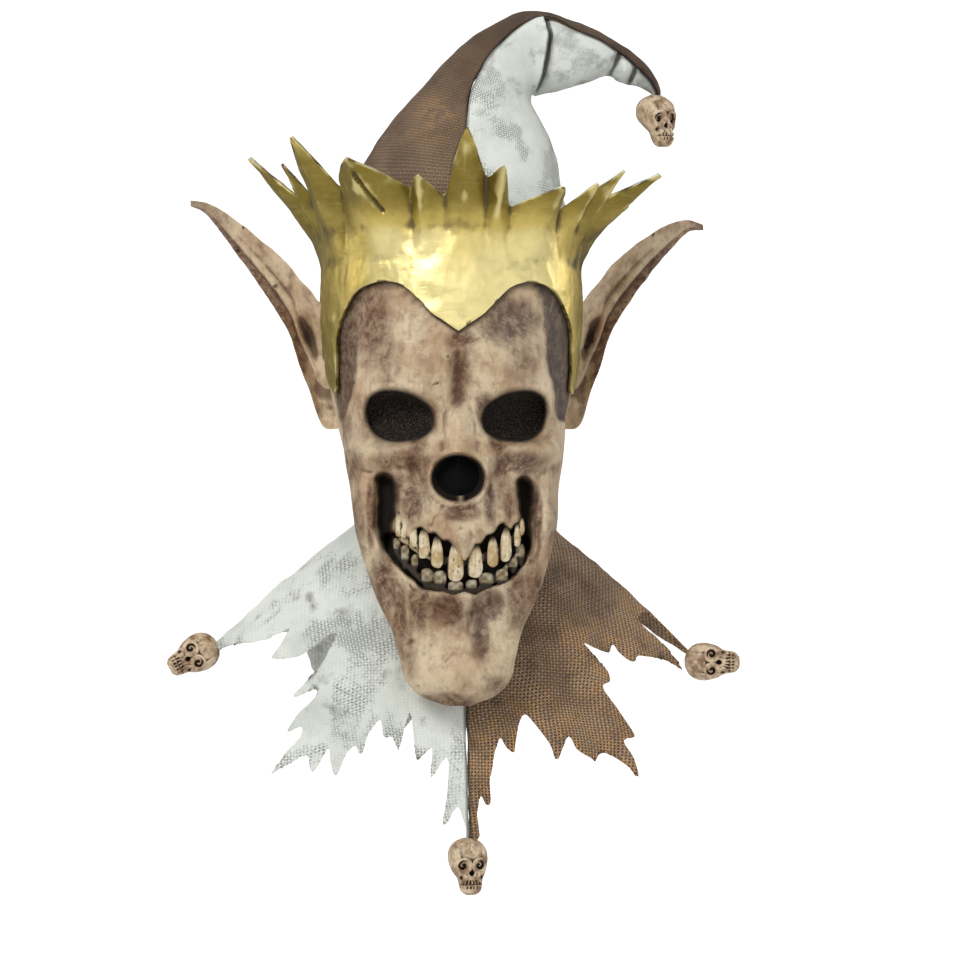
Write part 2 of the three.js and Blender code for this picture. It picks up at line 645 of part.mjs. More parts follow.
const FRONT_OF_ALL = -2 * HALF_DEPTH;
const BEHIND_FACE = -0.6 * HALF_DEPTH;

// The head without its hollow, and the hollow itself
const fullHead = cranium(0, 0, 0, HEAD_STEPS, HEAD_RING_STEPS).add(loft(outerFace));
const headCutter = cranium(GAP, CROWN_TOP, 0, HEAD_STEPS, HEAD_RING_STEPS)
  .add(loft(offsetGrid(outerFace, -GAP, true)));
const hollowAt = (depth) => cranium(-depth, PAST, PAST, HOLLOW_STEPS, HOLLOW_RING_STEPS)
  .add(loft(offsetGrid(hollowFace, depth, true)));

const skullHead = fullHead
  .subtract(hollowAt(LATEX))
  .subtract(column(eyeOutline(-1, 1), FRONT_OF_ALL, BEHIND_FACE))
  .subtract(column(eyeOutline(1, 1), FRONT_OF_ALL, BEHIND_FACE))
  .subtract(column(noseOutline(1), FRONT_OF_ALL, BEHIND_FACE));

// A mesh panel covers an opening from inside and follows the inside of the face. Its outline
// is the opening's, scaled by this share.
const MESH_OUTLINE_SHARE = 1.2;
const meshRoom = hollowAt(LATEX + GAP);
const meshBack = hollowAt(LATEX + GAP + MESH_THICKNESS);
const meshPanel = (outline) => meshRoom
  .intersect(column(outline, FRONT_OF_ALL, BEHIND_FACE))
  .subtract(meshBack);

// A row of teeth on a gum bar that lies on the groove of the mouth
function teethRow(teeth, side, back) {
  const barDepth = (x, z) => faceDepth(x, z) - GUM_RADIUS / 2;
  const barHeight = (across) => {
    const curl = across / MOUTH.half;
    const offLine = side * MOUTH.gum * MOUTH.tall * Math.sqrt(1 - curl ** 2);
    return -(MOUTH.down - MOUTH.rise * curl ** 2 + offLine) * FACE_LENGTH;
  };
  const barEnds = [teeth[0].across, teeth.at(-1).across];
  const bar = loft(shares(GUM_STEPS).map((share) => {
    const across = THREE.MathUtils.lerp(barEnds[0], barEnds[1], share);
    const x = across * HALF_WIDTH;
    const z = barHeight(across);
    return shares(TOOTH_SIDES).slice(0, -1).map((step) => new THREE.Vector3(
      x,
      barDepth(x, z) + Math.cos(step * 2 * Math.PI) * GUM_RADIUS,
      z + Math.sin(step * 2 * Math.PI) * GUM_RADIUS,
    ));
  }));
  const solids = teeth.map((tooth) => {
    const x = tooth.across * HALF_WIDTH;
    const rootZ = -tooth.root * FACE_LENGTH;
    const tipZ = -tooth.tip * FACE_LENGTH;
    const barY = barDepth(x, barHeight(tooth.across)) + back * TOOTH_THICKNESS;
    return loft(TOOTH_SECTIONS.map(({ along, wide, thick, forward }) => {
      const z = THREE.MathUtils.lerp(rootZ, tipZ, along);
      const halfWide = wide * tooth.wide * HALF_WIDTH / 2;
      const halfThick = thick * TOOTH_THICKNESS / 2;
      return shares(TOOTH_SIDES).slice(0, -1).map((step) => new THREE.Vector3(
        x + Math.sin(step * 2 * Math.PI) * halfWide,
        barY - forward * TOOTH_THICKNESS + Math.cos(step * 2 * Math.PI) * halfThick,
        z,
      ));
    }));
  });
  return solids.reduce((sum, tooth) => sum.add(tooth), bar).subtract(headCutter);
}

const upperTeeth = teethRow(UPPER_TEETH, -1, UPPER_ROW_BACK);
const lowerTeeth = teethRow(LOWER_TEETH, 1, LOWER_ROW_BACK).subtract(grown(upperTeeth));

// Distance of the cranium's surface from its middle, at a turn in degrees and a height
function craniumReach(turn, z) {
  const section = craniumSection(clamp(z, NECK_HEIGHT, RIM_HEIGHT), 0);
  const sine = Math.abs(Math.sin(radians(turn)));
  const cosine = Math.abs(Math.cos(radians(turn)));
  const depth = Math.cos(radians(turn)) > 0 ? -section.front : section.back;
  return ((sine / section.half) ** ROUNDNESS + (cosine / depth) ** ROUNDNESS) ** (-1 / ROUNDNESS);
}

// The crown is a wall round the cranium whose spikes lean out
const spikeTurns = SPIKES.map((spike) => spike.turn);
const edgeTurns = CROWN_EDGE
  .flatMap((edge) => (edge.turn % 180 ? [edge.turn, -edge.turn] : [edge.turn]))
  .filter((turn) => spikeTurns.every((spike) => Math.abs(spike - turn) > CLOSEST_TURN));
const crownTurns = [...spikeTurns, ...edgeTurns].sort((a, b) => a - b);
const ringOfSpikes = [{ ...SPIKES.at(-1), turn: SPIKES.at(-1).turn - 360 }, ...SPIKES,
  { ...SPIKES[0], turn: SPIKES[0].turn + 360 }];

function crownPoint(turn, share, inward, lower) {
  const bottom = -straight(CROWN_EDGE, Math.abs(turn), 'turn', 'down') * FACE_LENGTH - lower;
  const top = straight(ringOfSpikes, turn, 'turn', 'top') * CROWN_TOP;
  const reach = straight(ringOfSpikes, turn, 'turn', 'reach') * CROWN_REACH;
  const z = THREE.MathUtils.lerp(bottom, top, share);
  const snug = craniumReach(turn, z) + GAP + CROWN_LATEX
    + CROWN_PEAK_LIFT * FACE_RELIEF * bump(Math.abs(turn) / CROWN_PEAK_TURN);
  const lean = clamp((z - CROWN_FLARE_START) / (top - CROWN_FLARE_START), 0, 1) ** CROWN_BEND;
  const out = snug + lean * (reach - craniumReach(turn, RIM_HEIGHT)) - inward;
  return new THREE.Vector3(Math.sin(radians(turn)) * out, -Math.cos(radians(turn)) * out, z);
}

const crownGrid = (inward, lower) => shares(CROWN_ROWS).map((share) => (
  crownTurns.map((turn) => crownPoint(turn, share, inward, lower))));
const crown = wall(crownGrid(0, 0), crownGrid(CROWN_LATEX + GAP + LAP, 0), true).subtract(headCutter);
const crownCutter = wall(crownGrid(-GAP, GAP), crownGrid(CROWN_LATEX + 2 * (GAP + LAP), GAP), true);

// The hat stands on the rim of the cranium and bends over to one side
const hatBase = {
  outerX: -CRANIUM[0].half * HALF_WIDTH / HAT_REACH,
  outerZ: (RIM_HEIGHT + GAP) / HAT_TOP,
  innerX: CRANIUM[0].half * HALF_WIDTH / HAT_REACH,
  innerZ: (RIM_HEIGHT + GAP) / HAT_TOP,
  deep: (CRANIUM[0].back - CRANIUM[0].front) * HALF_DEPTH / (2 * CRANIUM[0].half * HALF_WIDTH),
  back: (CRANIUM[0].back + CRANIUM[0].front) / 2,
  seam: 0.5,
};
const hatRows = [hatBase, ...HAT].map((row, index) => ({ ...row, index }));

// The wall of the hat grows thinner where half its width is less than this share allows
const THINNEST_SHARE = 0.6;

function hatRing(at) {
  const value = (columnName) => between(hatRows, at, 'index', columnName);
  const outer = new THREE.Vector3(value('outerX') * HAT_REACH, 0, value('outerZ') * HAT_TOP);
  const inner = new THREE.Vector3(value('innerX') * HAT_REACH, 0, value('innerZ') * HAT_TOP);
  const middle = outer.clone().lerp(inner, 0.5);
  middle.y = value('back') * HALF_DEPTH;
  const across = inner.clone().sub(outer).multiplyScalar(0.5);
  const half = across.length();
  const depth = new THREE.Vector3(0, -half * value('deep'), 0);
  const seam = Math.acos(clamp(2 * value('seam') - 1, -1, 1));
  const slit = GAP / 2 / half;
  const turns = (from, to) => shares(HAT_COLUMNS)
    .map((share) => THREE.MathUtils.lerp(from, to, share));
  const power = 2 / ROUNDNESS;
  const place = (turn, thin) => {
    const scale = 1 - thin / half;
    const cosine = Math.sign(Math.cos(turn)) * Math.abs(Math.cos(turn)) ** power;
    const sine = Math.sign(Math.sin(turn)) * Math.abs(Math.sin(turn)) ** power;
    return middle.clone()
      .addScaledVector(across, cosine * scale)
      .addScaledVector(depth, sine * scale);
  };
  const thin = Math.min(HAT_LATEX, THINNEST_SHARE * half);
  const ring = (from, to, inward) => turns(from, to).map((turn) => place(turn, inward));
  return {
    white: [ring(-seam + slit, seam - slit, 0), ring(-seam + slit, seam - slit, thin)],
    brown: [ring(seam + slit, 2 * Math.PI - seam - slit, 0),
      ring(seam + slit, 2 * Math.PI - seam - slit, thin)],
  };
}

const hatRings = shares(HAT_STEPS).map((share) => hatRing(share * (hatRows.length - 1)));
const hatHalf = (colour) => wall(
  hatRings.map((ring) => ring[colour][0]), hatRings.map((ring) => ring[colour][1]), false);
const hatWhite = hatHalf('white').subtract(crownCutter);
const hatBrown = hatHalf('brown').subtract(crownCutter);

// An ear is a cupped leaf that grows out of the side of the head
function ear(side, tipLift) {
  const front = EAR.map((row) => {
    const top = row.top * EAR_HEIGHT;
    const low = row.low * EAR_HEIGHT;
    const lift = tipLift * Math.max(row.out, 0) ** 3 - EAR_DOWN * FACE_LENGTH;
    const back = EAR_BACK * HALF_DEPTH + Math.max(row.out, 0) * EAR_SET_BACK;
    return shares(EAR_COLUMNS).map((place) => new THREE.Vector3(
      side * (HALF_WIDTH + row.out * EAR_REACH),
      back - (2 * place - 1) ** 2 * (top - low) * EAR_CUP,
      THREE.MathUtils.lerp(top, low, place) + lift,
    ));
  });
  const back = front.map((row) => row.map((point) => (
    point.clone().add(new THREE.Vector3(0, EAR_LATEX, 0)))));
  return wall(front, back, false).subtract(headCutter).subtract(crownCutter);
}

// The collar falls from the neck, steep in front and flat over the shoulders
function collarPoint(turn, run) {
  const sine = Math.sin(radians(turn));
  const cosine = Math.cos(radians(turn));
  const slope = radians(COLLAR_SLOPE + COLLAR_STEEPER * Math.abs(cosine)
    + COLLAR_BROWN_DROP * Math.max(sine, 0));
  const neck = craniumSection(NECK_HEIGHT, 0);
  const depth = cosine > 0 ? -neck.front : neck.back;
  const share = clamp(run / COLLAR_LENGTH, 0, 1);
  const swell = Math.abs(sine) * (COLLAR_FOLD * share * Math.sin(radians(turn) * COLLAR_FOLDS)
    + COLLAR_BULGE * Math.sin(Math.PI * share));
  const out = run * Math.cos(slope) + swell * Math.sin(slope);
  return new THREE.Vector3(
    (neck.half + out) * sine,
    -(depth + out) * cosine,
    NECK_HEIGHT - GAP - run * Math.sin(slope) + swell * Math.cos(slope),
  );
}

const collarRing = [{ ...COLLAR_EDGE.at(-1), turn: COLLAR_EDGE.at(-1).turn - 360 }, ...COLLAR_EDGE,
  { ...COLLAR_EDGE[0], turn: COLLAR_EDGE[0].turn + 360 }];
const collarRun = (turn) => straight(collarRing, turn, 'turn', 'run') * COLLAR_LENGTH;

function collarHalf(from, to) {
  const slit = THREE.MathUtils.radToDeg(GAP / craniumSection(NECK_HEIGHT, 0).half);
  const turns = [from + slit, ...COLLAR_EDGE.map((edge) => edge.turn)
    .filter((turn) => turn > from + 2 * slit && turn < to - 2 * slit), to - slit];
  const outer = shares(COLLAR_ROWS).map((share) => (
    turns.map((turn) => collarPoint(turn, share * collarRun(turn)))));
  return wall(outer, offsetGrid(outer, COLLAR_LATEX, false), false);
}

const collarLeft = collarHalf(-180, COLLAR_SEAM);
const collarRight = collarHalf(COLLAR_SEAM, 180);

// A small skull with its top at the origin, hanging down and looking to the front
const charmRings = shares(CHARM_STEPS).map((share) => {
  const row = (columnName, size) => between(CHARM, share, 'down', columnName) * size / 2;
  const front = row('front', CHARM_DEPTH);
  const back = row('back', CHARM_DEPTH);
  const section = { half: row('half', CHARM_WIDTH), front, back, wide: (front + back) / 2 };
  return shares(CHARM_SIDES).slice(0, -1).map((step) => {
    const turn = step * 2 * Math.PI;
    const point = sectionPoint(section, turn, -share * CHARM_HEIGHT);
    if (Math.cos(turn) > 0) {
      for (const form of CHARM_RELIEF) {
        const side = Math.abs(point.x) / (CHARM_WIDTH / 2) - form.across;
        const dent = bump(Math.hypot(side / form.wide, (share - form.down) / form.tall));
        point.y -= form.lift * dent * CHARM_DEPTH / 2 * Math.cos(turn);
      }
    }
    return point;
  });
});
const charm = loft(charmRings);

const hatTip = hatRings.at(-1).brown[0][HAT_COLUMNS / 2].clone()
  .lerp(hatRings.at(-1).white[0][HAT_COLUMNS / 2], 0.5);

// The last rings of the hat as a solid, moved out by the clearance on all sides
const hatTipRings = offsetGrid(
  hatRings.slice(-4).map((ring) => [...ring.white[0], ...ring.brown[0]]), -GAP, true);
hatTipRings.at(-1).forEach((point) => point.setZ(point.z - GAP));
const hatTipCutter = loft(hatTipRings);
const collarCutter = grown(collarLeft).add(grown(collarRight));

// Small skull at the point that it hangs on, cut clear of it
function charmSolid({ collar, roll, turn }) {
  const hangsOnHat = collar === undefined;
  const point = hangsOnHat ? hatTip.clone() : collarPoint(collar, collarRun(collar));
  const angles = new THREE.Euler(0, radians(roll), radians(turn), 'ZYX');
  const place = new THREE.Matrix4().makeRotationFromEuler(angles);
  const up = new THREE.Vector3(0, 0, 1).applyMatrix4(place);
  place.setPosition(point.addScaledVector(up, CHARM_SINK));
  return charm.transform(place.elements).subtract(hangsOnHat ? hatTipCutter : collarCutter);
}

const BONE = { color: 0xcfc3a4, roughness: 0.7, metalness: 0 };
const IVORY = { color: 0xbfae80, roughness: 0.5, metalness: 0 };
const BLACK = { color: 0x111111, roughness: 0.9, metalness: 0 };
const GOLD = { color: 0xa98a2e, roughness: 0.45, metalness: 0.6 };
const BROWN = { color: 0x6b5a34, roughness: 0.8, metalness: 0 };
const WHITE = { color: 0xd9dcd2, roughness: 0.8, metalness: 0 };

const mask = new THREE.Group();

function addPiece(name, solid, finish) {
  const { vertProperties, triVerts, numProp } = solid.getMesh();
  const geometry = new THREE.BufferGeometry();
  const positions = new Float32Array(vertProperties.length / numProp * 3);
  for (let index = 0; index < positions.length / 3; index += 1) {
    positions.set(vertProperties.subarray(index * numProp, index * numProp + 3), index * 3);
  }
  geometry.setAttribute('position', new THREE.BufferAttribute(positions, 3));
  geometry.setIndex(new THREE.BufferAttribute(new Uint32Array(triVerts), 1));
  geometry.computeVertexNormals();
  const piece = new THREE.Mesh(geometry, new THREE.MeshStandardMaterial(finish));
  piece.name = name;
  mask.add(piece);
}

addPiece('skull_head', skullHead, BONE);
addPiece('upper_teeth', upperTeeth, IVORY);
addPiece('lower_teeth', lowerTeeth, IVORY);
addPiece('eye_mesh_left', meshPanel(eyeOutline(-1, MESH_OUTLINE_SHARE)), BLACK);
addPiece('eye_mesh_right', meshPanel(eyeOutline(1, MESH_OUTLINE_SHARE)), BLACK);
addPiece('nose_mesh', meshPanel(noseOutline(MESH_OUTLINE_SHARE)), BLACK);
addPiece('crown', crown, GOLD);
addPiece('hat_brown', hatBrown, BROWN);
addPiece('hat_white', hatWhite, WHITE);
addPiece('ear_left', ear(-1, EAR_TIP_LIFT), BONE);
addPiece('ear_right', ear(1, -EAR_TIP_LIFT), BONE);
addPiece('collar_left', collarLeft, WHITE);
addPiece('collar_right', collarRight, BROWN);
for (const row of CHARMS) addPiece(row.name, charmSolid(row), IVORY);

export default mask;
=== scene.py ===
# %% [markdown]
# # A jester skull mask, dressed over its construction model
# The mask is one over-the-head latex casting: a skull face, a gold crown, a bent hat in two
# colours, long ears and a ragged collar. The construction model gives each of these as a plain
# hollow solid. This lesson makes the surface that shows, piece by piece, round those solids.

# %% Load the fixed frame
import math
import random

import bpy
import numpy as np
from mathutils import Matrix, Vector


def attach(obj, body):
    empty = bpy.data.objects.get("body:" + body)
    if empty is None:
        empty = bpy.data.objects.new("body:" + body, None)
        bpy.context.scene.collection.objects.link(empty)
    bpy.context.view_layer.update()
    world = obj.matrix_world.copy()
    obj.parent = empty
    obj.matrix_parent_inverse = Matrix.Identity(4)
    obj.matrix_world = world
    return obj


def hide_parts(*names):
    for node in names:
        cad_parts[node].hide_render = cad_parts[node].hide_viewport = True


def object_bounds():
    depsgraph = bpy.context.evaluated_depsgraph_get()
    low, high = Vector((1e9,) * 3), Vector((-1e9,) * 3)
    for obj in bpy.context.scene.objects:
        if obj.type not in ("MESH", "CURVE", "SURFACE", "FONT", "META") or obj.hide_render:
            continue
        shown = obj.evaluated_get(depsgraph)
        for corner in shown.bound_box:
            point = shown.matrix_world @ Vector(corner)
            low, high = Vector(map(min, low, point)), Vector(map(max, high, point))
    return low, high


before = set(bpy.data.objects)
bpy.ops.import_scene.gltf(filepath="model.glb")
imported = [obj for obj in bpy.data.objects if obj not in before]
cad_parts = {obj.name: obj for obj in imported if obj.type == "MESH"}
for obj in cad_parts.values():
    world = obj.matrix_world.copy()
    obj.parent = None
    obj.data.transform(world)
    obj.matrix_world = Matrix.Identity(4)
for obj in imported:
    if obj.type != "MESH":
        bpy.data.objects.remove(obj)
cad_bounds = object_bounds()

random.seed(7)
print("Solids in the frame:", sorted(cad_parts))

# %% [markdown]
# ## Camera, light and ground
# The photograph looks at the mask from nearly straight ahead, through a long lens. The camera comes first.
# Broad soft lamps stand in for a studio's light boxes, and the ground and backdrop stay plain and pale.

# %% The camera at the photograph's angle
AIM = Vector((0.0204, -0.06, -0.1672))
CAMERA_PLACE = Vector((-0.1338, -2.6554, -0.1672))
FIELD_OF_VIEW = math.radians(16.8)

bpy.ops.object.camera_add(location=CAMERA_PLACE)
camera = bpy.context.object
camera.rotation_euler = (AIM - CAMERA_PLACE).to_track_quat("-Z", "Y").to_euler()
camera.data.angle = FIELD_OF_VIEW
bpy.context.scene.camera = camera
print("The camera stands", round((AIM - CAMERA_PLACE).length, 2), "m away")

# %% Lamps, ground and the pale surroundings
LAMPS = (
    ("key", (-1.2, -2.1, 1.4), 1.0, 44),
    ("front", (0.5, -2.7, 0.7), 1.4, 9),
    ("fill", (1.9, -1.6, 0.1), 1.4, 8),
    ("top", (0.2, 0.2, 2.0), 1.2, 14),
    ("left_edge", (-1.9, 0.5, 0.4), 1.0, 10),
    ("right_edge", (1.9, 0.6, 0.4), 1.0, 10),
)
GROUND_BELOW = 0.25
SWEEP_BACK = 4.0
SWEEP_RADIUS = 3.0
SWEEP_REACH = 20.0
PALE = (0.88, 0.88, 0.88, 1.0)

for name, place, width, watts in LAMPS:
    bpy.ops.object.light_add(type="AREA", location=place)
    lamp = bpy.context.object
    lamp.name = name
    lamp.data.size = width
    lamp.data.energy = watts
    lamp.rotation_euler = (AIM - Vector(place)).to_track_quat("-Z", "Y").to_euler()

bpy.ops.mesh.primitive_grid_add(x_subdivisions=1, y_subdivisions=64, size=1)
ground = bpy.context.object
ground.name = "ground"
ground_level = cad_bounds[0].z - GROUND_BELOW
for vertex in ground.data.vertices:
    along = (vertex.co.y + 0.5) * 3
    bend = max(0, min(1, along - 1)) * math.pi / 2
    back = min(along, 1) * (SWEEP_BACK + SWEEP_REACH) - SWEEP_REACH + SWEEP_RADIUS * math.sin(bend)
    rise = SWEEP_RADIUS * (1 - math.cos(bend)) + max(0, along - 2) * SWEEP_REACH
    vertex.co = (vertex.co.x * 2 * SWEEP_REACH, back, ground_level + rise)
bpy.ops.object.shade_smooth()
ground.data.materials.append(bpy.data.materials.new("pale_ground"))
ground.data.materials[0].use_nodes = True
ground_shader = ground.data.materials[0].node_tree.nodes["Principled BSDF"]
ground_shader.inputs["Base Color"].default_value = PALE
ground_shader.inputs["Roughness"].default_value = 0.9
ground_shader.inputs["Emission Color"].default_value = (1, 1, 1, 1)
ground_tree = ground.data.materials[0].node_tree
ray = ground_tree.nodes.new("ShaderNodeLightPath")
ground_tree.links.new(ray.outputs["Is Camera Ray"], ground_shader.inputs["Emission Strength"])

world = bpy.data.worlds.new("pale_surroundings")
world.use_nodes = True
world.node_tree.nodes["Background"].inputs["Color"].default_value = (1, 1, 1, 1)
world.node_tree.nodes["Background"].inputs["Strength"].default_value = 0.2
bpy.context.scene.world = world
bpy.context.scene.view_settings.view_transform = "Standard"
print("Lamps:", len(LAMPS))

# %% [markdown]
# ## Helpers that every piece uses
# Nearly every piece is a skin of latex whose sections are known at a few heights. Such a skin
# starts as a grid primitive, whose points are then moved to their places by a function of how
# far across and how far down they lie. Solidify gives the skin its thickness afterwards.

# %% Tables, and curves through them
def columns(names, *rows):
    """A table with one array of numbers for each named column."""
    return dict(zip(names.split(), np.array(rows, float).T))


def between(table, column, at, key="down"):
    """Value of a column between the rows of a table, so that the rows join smoothly."""
    keys = table[key]
    values = table[column]
    slopes = np.gradient(values)
    slopes[1:-1] = (values[2:] - values[:-2]) / (keys[2:] - keys[:-2])
    slopes[0] = (values[1] - values[0]) / (keys[1] - keys[0])
    slopes[-1] = (values[-1] - values[-2]) / (keys[-1] - keys[-2])
    low = np.clip(np.searchsorted(keys, at) - 1, 0, len(keys) - 2)
    span = keys[low + 1] - keys[low]
    share = np.clip((at - keys[low]) / span, 0, 1)
    rise = values[low + 1] - values[low]
    start = slopes[low] * span
    end = slopes[low + 1] * span
    square = share**2 * (3 * rise - 2 * start - end)
    return values[low] + share * start + square + share**3 * (start + end - 2 * rise)


def straight(table, column, at, key="turn"):
    """Value of a column between the rows of a table, in straight lines."""
    return np.interp(at, table[key], table[column])


def bump(distance):
    """A smooth hill that is 1 in the middle and 0 from a distance of 1 on."""
    return np.where(distance < 1, (1 - np.clip(distance, 0, 1) ** 2) ** 2, 0)


def step(low, high, value):
    """A smooth step from 0 at low to 1 at high."""
    share = np.clip((value - low) / (high - low), 0, 1)
    return share * share * (3 - 2 * share)


def ridge(x, z, path, width):
    """A smooth ridge of height 1 along a path of places, narrowing to nothing at width."""
    nearest = np.full(np.shape(x), np.inf)
    for (x0, z0), (x1, z1) in zip(path[:-1], path[1:]):
        along = np.array((x1 - x0, z1 - z0))
        share = np.clip(((x - x0) * along[0] + (z - z0) * along[1]) / (along @ along), 0, 1)
        nearest = np.minimum(nearest, np.hypot(x - x0 - share * along[0], z - z0 - share * along[1]))
    return bump(nearest / width)


# %% Skins made from a grid primitive
def points_of(piece):
    """The places of a mesh's points as an array of rows."""
    places = np.empty(len(piece.data.vertices) * 3)
    piece.data.vertices.foreach_get("co", places)
    return places.reshape(-1, 3)


def put_points(piece, places):
    """Moves a mesh's points to new places."""
    piece.data.vertices.foreach_set("co", np.asarray(places, float).ravel())
    piece.data.update()


def only(piece):
    """Selects one piece and nothing else."""
    bpy.ops.object.select_all(action="DESELECT")
    piece.select_set(True)
    bpy.context.view_layer.objects.active = piece


def edit(piece, *steps):
    """Runs edit-mode operators on all of a piece."""
    only(piece)
    bpy.ops.object.mode_set(mode="EDIT")
    bpy.ops.mesh.select_all(action="SELECT")
    for operator, settings in steps:
        operator(**settings)
    bpy.ops.object.mode_set(mode="OBJECT")


def skin(name, place, across, down, closed=False, capped=False):
    """A grid primitive whose points are moved to place(u, v), both from 0 to 1."""
    bpy.ops.object.select_all(action="DESELECT")
    bpy.ops.mesh.primitive_grid_add(x_subdivisions=across, y_subdivisions=down, size=1)
    piece = bpy.context.object
    piece.name = name
    flat = points_of(piece)
    put_points(piece, place(flat[:, 0] + 0.5, 0.5 - flat[:, 1]))
    steps = []
    if closed:
        steps.append((bpy.ops.mesh.remove_doubles, {"threshold": 1e-6}))
    if capped:
        steps.append((bpy.ops.mesh.fill_holes, {"sides": 0}))
        steps.append((bpy.ops.mesh.normals_make_consistent, {"inside": False}))
    if steps:
        edit(piece, *steps)
    return piece


def apply(piece, kind, **settings):
    """Adds a modifier with these settings and applies it."""
    only(piece)
    modifier = piece.modifiers.new(kind.lower(), kind)
    for key, value in settings.items():
        setattr(modifier, key, value)
    bpy.ops.object.modifier_apply(modifier=modifier.name)


def join_or_cut(piece, other, operation):
    """Joins another closed mesh to a piece, or cuts it away, and deletes the other one."""
    apply(piece, "BOOLEAN", solver="MANIFOLD", object=other, operation=operation)
    bpy.data.objects.remove(other)


def rumple(piece, size, strength, group=""):
    """Moves a skin in and out by a soft noise whose lumps have about this size."""
    texture = bpy.data.textures.new("lumps", "CLOUDS")
    texture.noise_scale = size
    apply(piece, "DISPLACE", texture=texture, strength=strength, mid_level=0.5,
          texture_coords="LOCAL", vertex_group=group)


def weigh(piece, name, weights):
    """Stores a number for each point as a vertex group."""
    group = piece.vertex_groups.new(name=name)
    for index, weight in enumerate(weights):
        if weight > 0:
            group.add([index], float(weight), "REPLACE")


def mark(piece, name, values):
    """Stores a number for each point as an attribute that materials read."""
    attribute = piece.data.attributes.get(name) or piece.data.attributes.new(name, "FLOAT", "POINT")
    attribute.data.foreach_set("value", np.asarray(values, np.float32))


# %% [markdown]
# Paint on such a mask is rubbed into the hollows and wiped off the ridges. So each finished
# piece gets an attribute that says how hollow its surface is at each point: the surface is
# relaxed a number of times, and a point that lies behind the relaxed surface is in a hollow.

# %% How hollow a surface is at each point
def hollowness(piece, rounds, depth):
    """1 in hollows, -1 on ridges, where depth is the sinking that counts as fully hollow."""
    places = points_of(piece)
    count = len(places)
    edges = np.empty(len(piece.data.edges) * 2, np.int64)
    piece.data.edges.foreach_get("vertices", edges)
    edges = edges.reshape(-1, 2)
    both = np.concatenate((edges, edges[:, ::-1]))
    degree = np.maximum(np.bincount(both[:, 0], minlength=count), 1)[:, None]
    relaxed = places.copy()
    for _ in range(rounds):
        total = np.stack([np.bincount(both[:, 0], relaxed[both[:, 1], axis], count)
                          for axis in range(3)], 1)
        relaxed = 0.5 * relaxed + 0.5 * total / degree
    normals = np.empty(count * 3)
    piece.data.vertex_normals.foreach_get("vector", normals)
    sunk = ((relaxed - places) * normals.reshape(-1, 3)).sum(1)
    return np.clip(sunk / depth, -1, 1)


def finish_piece(piece, slot, material, *nodes, angle=40):
    """Shades a piece, gives it its finish and ties it to the model."""
    only(piece)
    bpy.ops.object.shade_smooth_by_angle(angle=math.radians(angle))
    piece.data.materials.clear()
    piece.data.materials.append(material)
    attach(piece, "root")
    if nodes:
        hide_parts(*nodes)
    piece.data.calc_loop_triangles()
    print(piece.name, "has", len(piece.data.loop_triangles), "triangles")


# %% [markdown]
# ## Shader node groups
# A few effects come back in several finishes: broken colour, a dark wash that sits in the
# hollows, a pressed canvas weave and small pits. Each is a node group that puts out a mask or a
# height, so the finishes that use it differ only in the numbers they give it.

# %% Helpers that place and join shader nodes
class Tree:
    """A node tree, with short ways to place a node and to join it to others."""

    def __init__(self, tree):
        self.tree = tree

    def add(self, kind, settings=None, **inputs):
        node = self.tree.nodes.new(kind)
        for key, value in (settings or {}).items():
            setattr(node, key, value)
        for key, value in inputs.items():
            self.join(value, node.inputs[int(key[1:]) if key[1:].isdigit() else key.replace("_", " ")])
        return node

    def join(self, value, socket):
        if isinstance(value, bpy.types.NodeSocket):
            self.tree.links.new(value, socket)
        else:
            socket.default_value = value

    def math(self, operation, first, second=0.0, third=0.0, clamp=False):
        settings = {"operation": operation, "use_clamp": clamp}
        return self.add("ShaderNodeMath", settings, i0=first, i1=second, i2=third).outputs[0]

    def mix(self, share, first, second, blend="MIX"):
        node = self.add("ShaderNodeMix", {"data_type": "RGBA", "blend_type": blend})
        self.join(share, node.inputs[0])
        self.join(first, node.inputs[6])
        self.join(second, node.inputs[7])
        return node.outputs[2]

    def ramp(self, value, low, high):
        settings = {"interpolation_type": "SMOOTHSTEP"}
        return self.add("ShaderNodeMapRange", settings, Value=value, From_Min=low, From_Max=high).outputs[0]

    def noise(self, place, scale, detail=4.0, roughness=0.6):
        return self.add("ShaderNodeTexNoise", None, Vector=place, Scale=scale, Detail=detail,
                        Roughness=roughness).outputs[0]

    def attribute(self, name):
        return self.add("ShaderNodeAttribute", {"attribute_name": name}).outputs["Fac"]

    def place(self):
        return self.add("ShaderNodeTexCoord").outputs["Object"]

    def stretched(self, place, scale, turn=(0, 0, 0)):
        return self.add("ShaderNodeMapping", None, Vector=place, Scale=scale, Rotation=turn).outputs[0]


def effect(name, inputs, outputs, build):
    """A node group with named number inputs and outputs."""
    tree = bpy.data.node_groups.new(name, "ShaderNodeTree")
    for label, kind, start in inputs:
        socket = tree.interface.new_socket(label, in_out="INPUT", socket_type="NodeSocket" + kind)
        if start is not None:
            socket.default_value = start
    for label in outputs:
        tree.interface.new_socket(label, in_out="OUTPUT", socket_type="NodeSocketFloat")
    made = Tree(tree)
    given = made.add("NodeGroupInput").outputs
    result = made.add("NodeGroupOutput")
    for label, value in build(made, given).items():
        made.join(value, result.inputs[label])
    return tree


# %% Broken colour, wash, weave and pits
def build_patches(made, given):
    broad = made.noise(given["Place"], given["Scale"], 6.0, 0.65)
    return {"Mask": made.ramp(broad, given["From"], given["To"])}


PATCHES = effect("patches", (("Place", "Vector", None), ("Scale", "Float", 30.0),
                             ("From", "Float", 0.4), ("To", "Float", 0.7)), ("Mask",), build_patches)


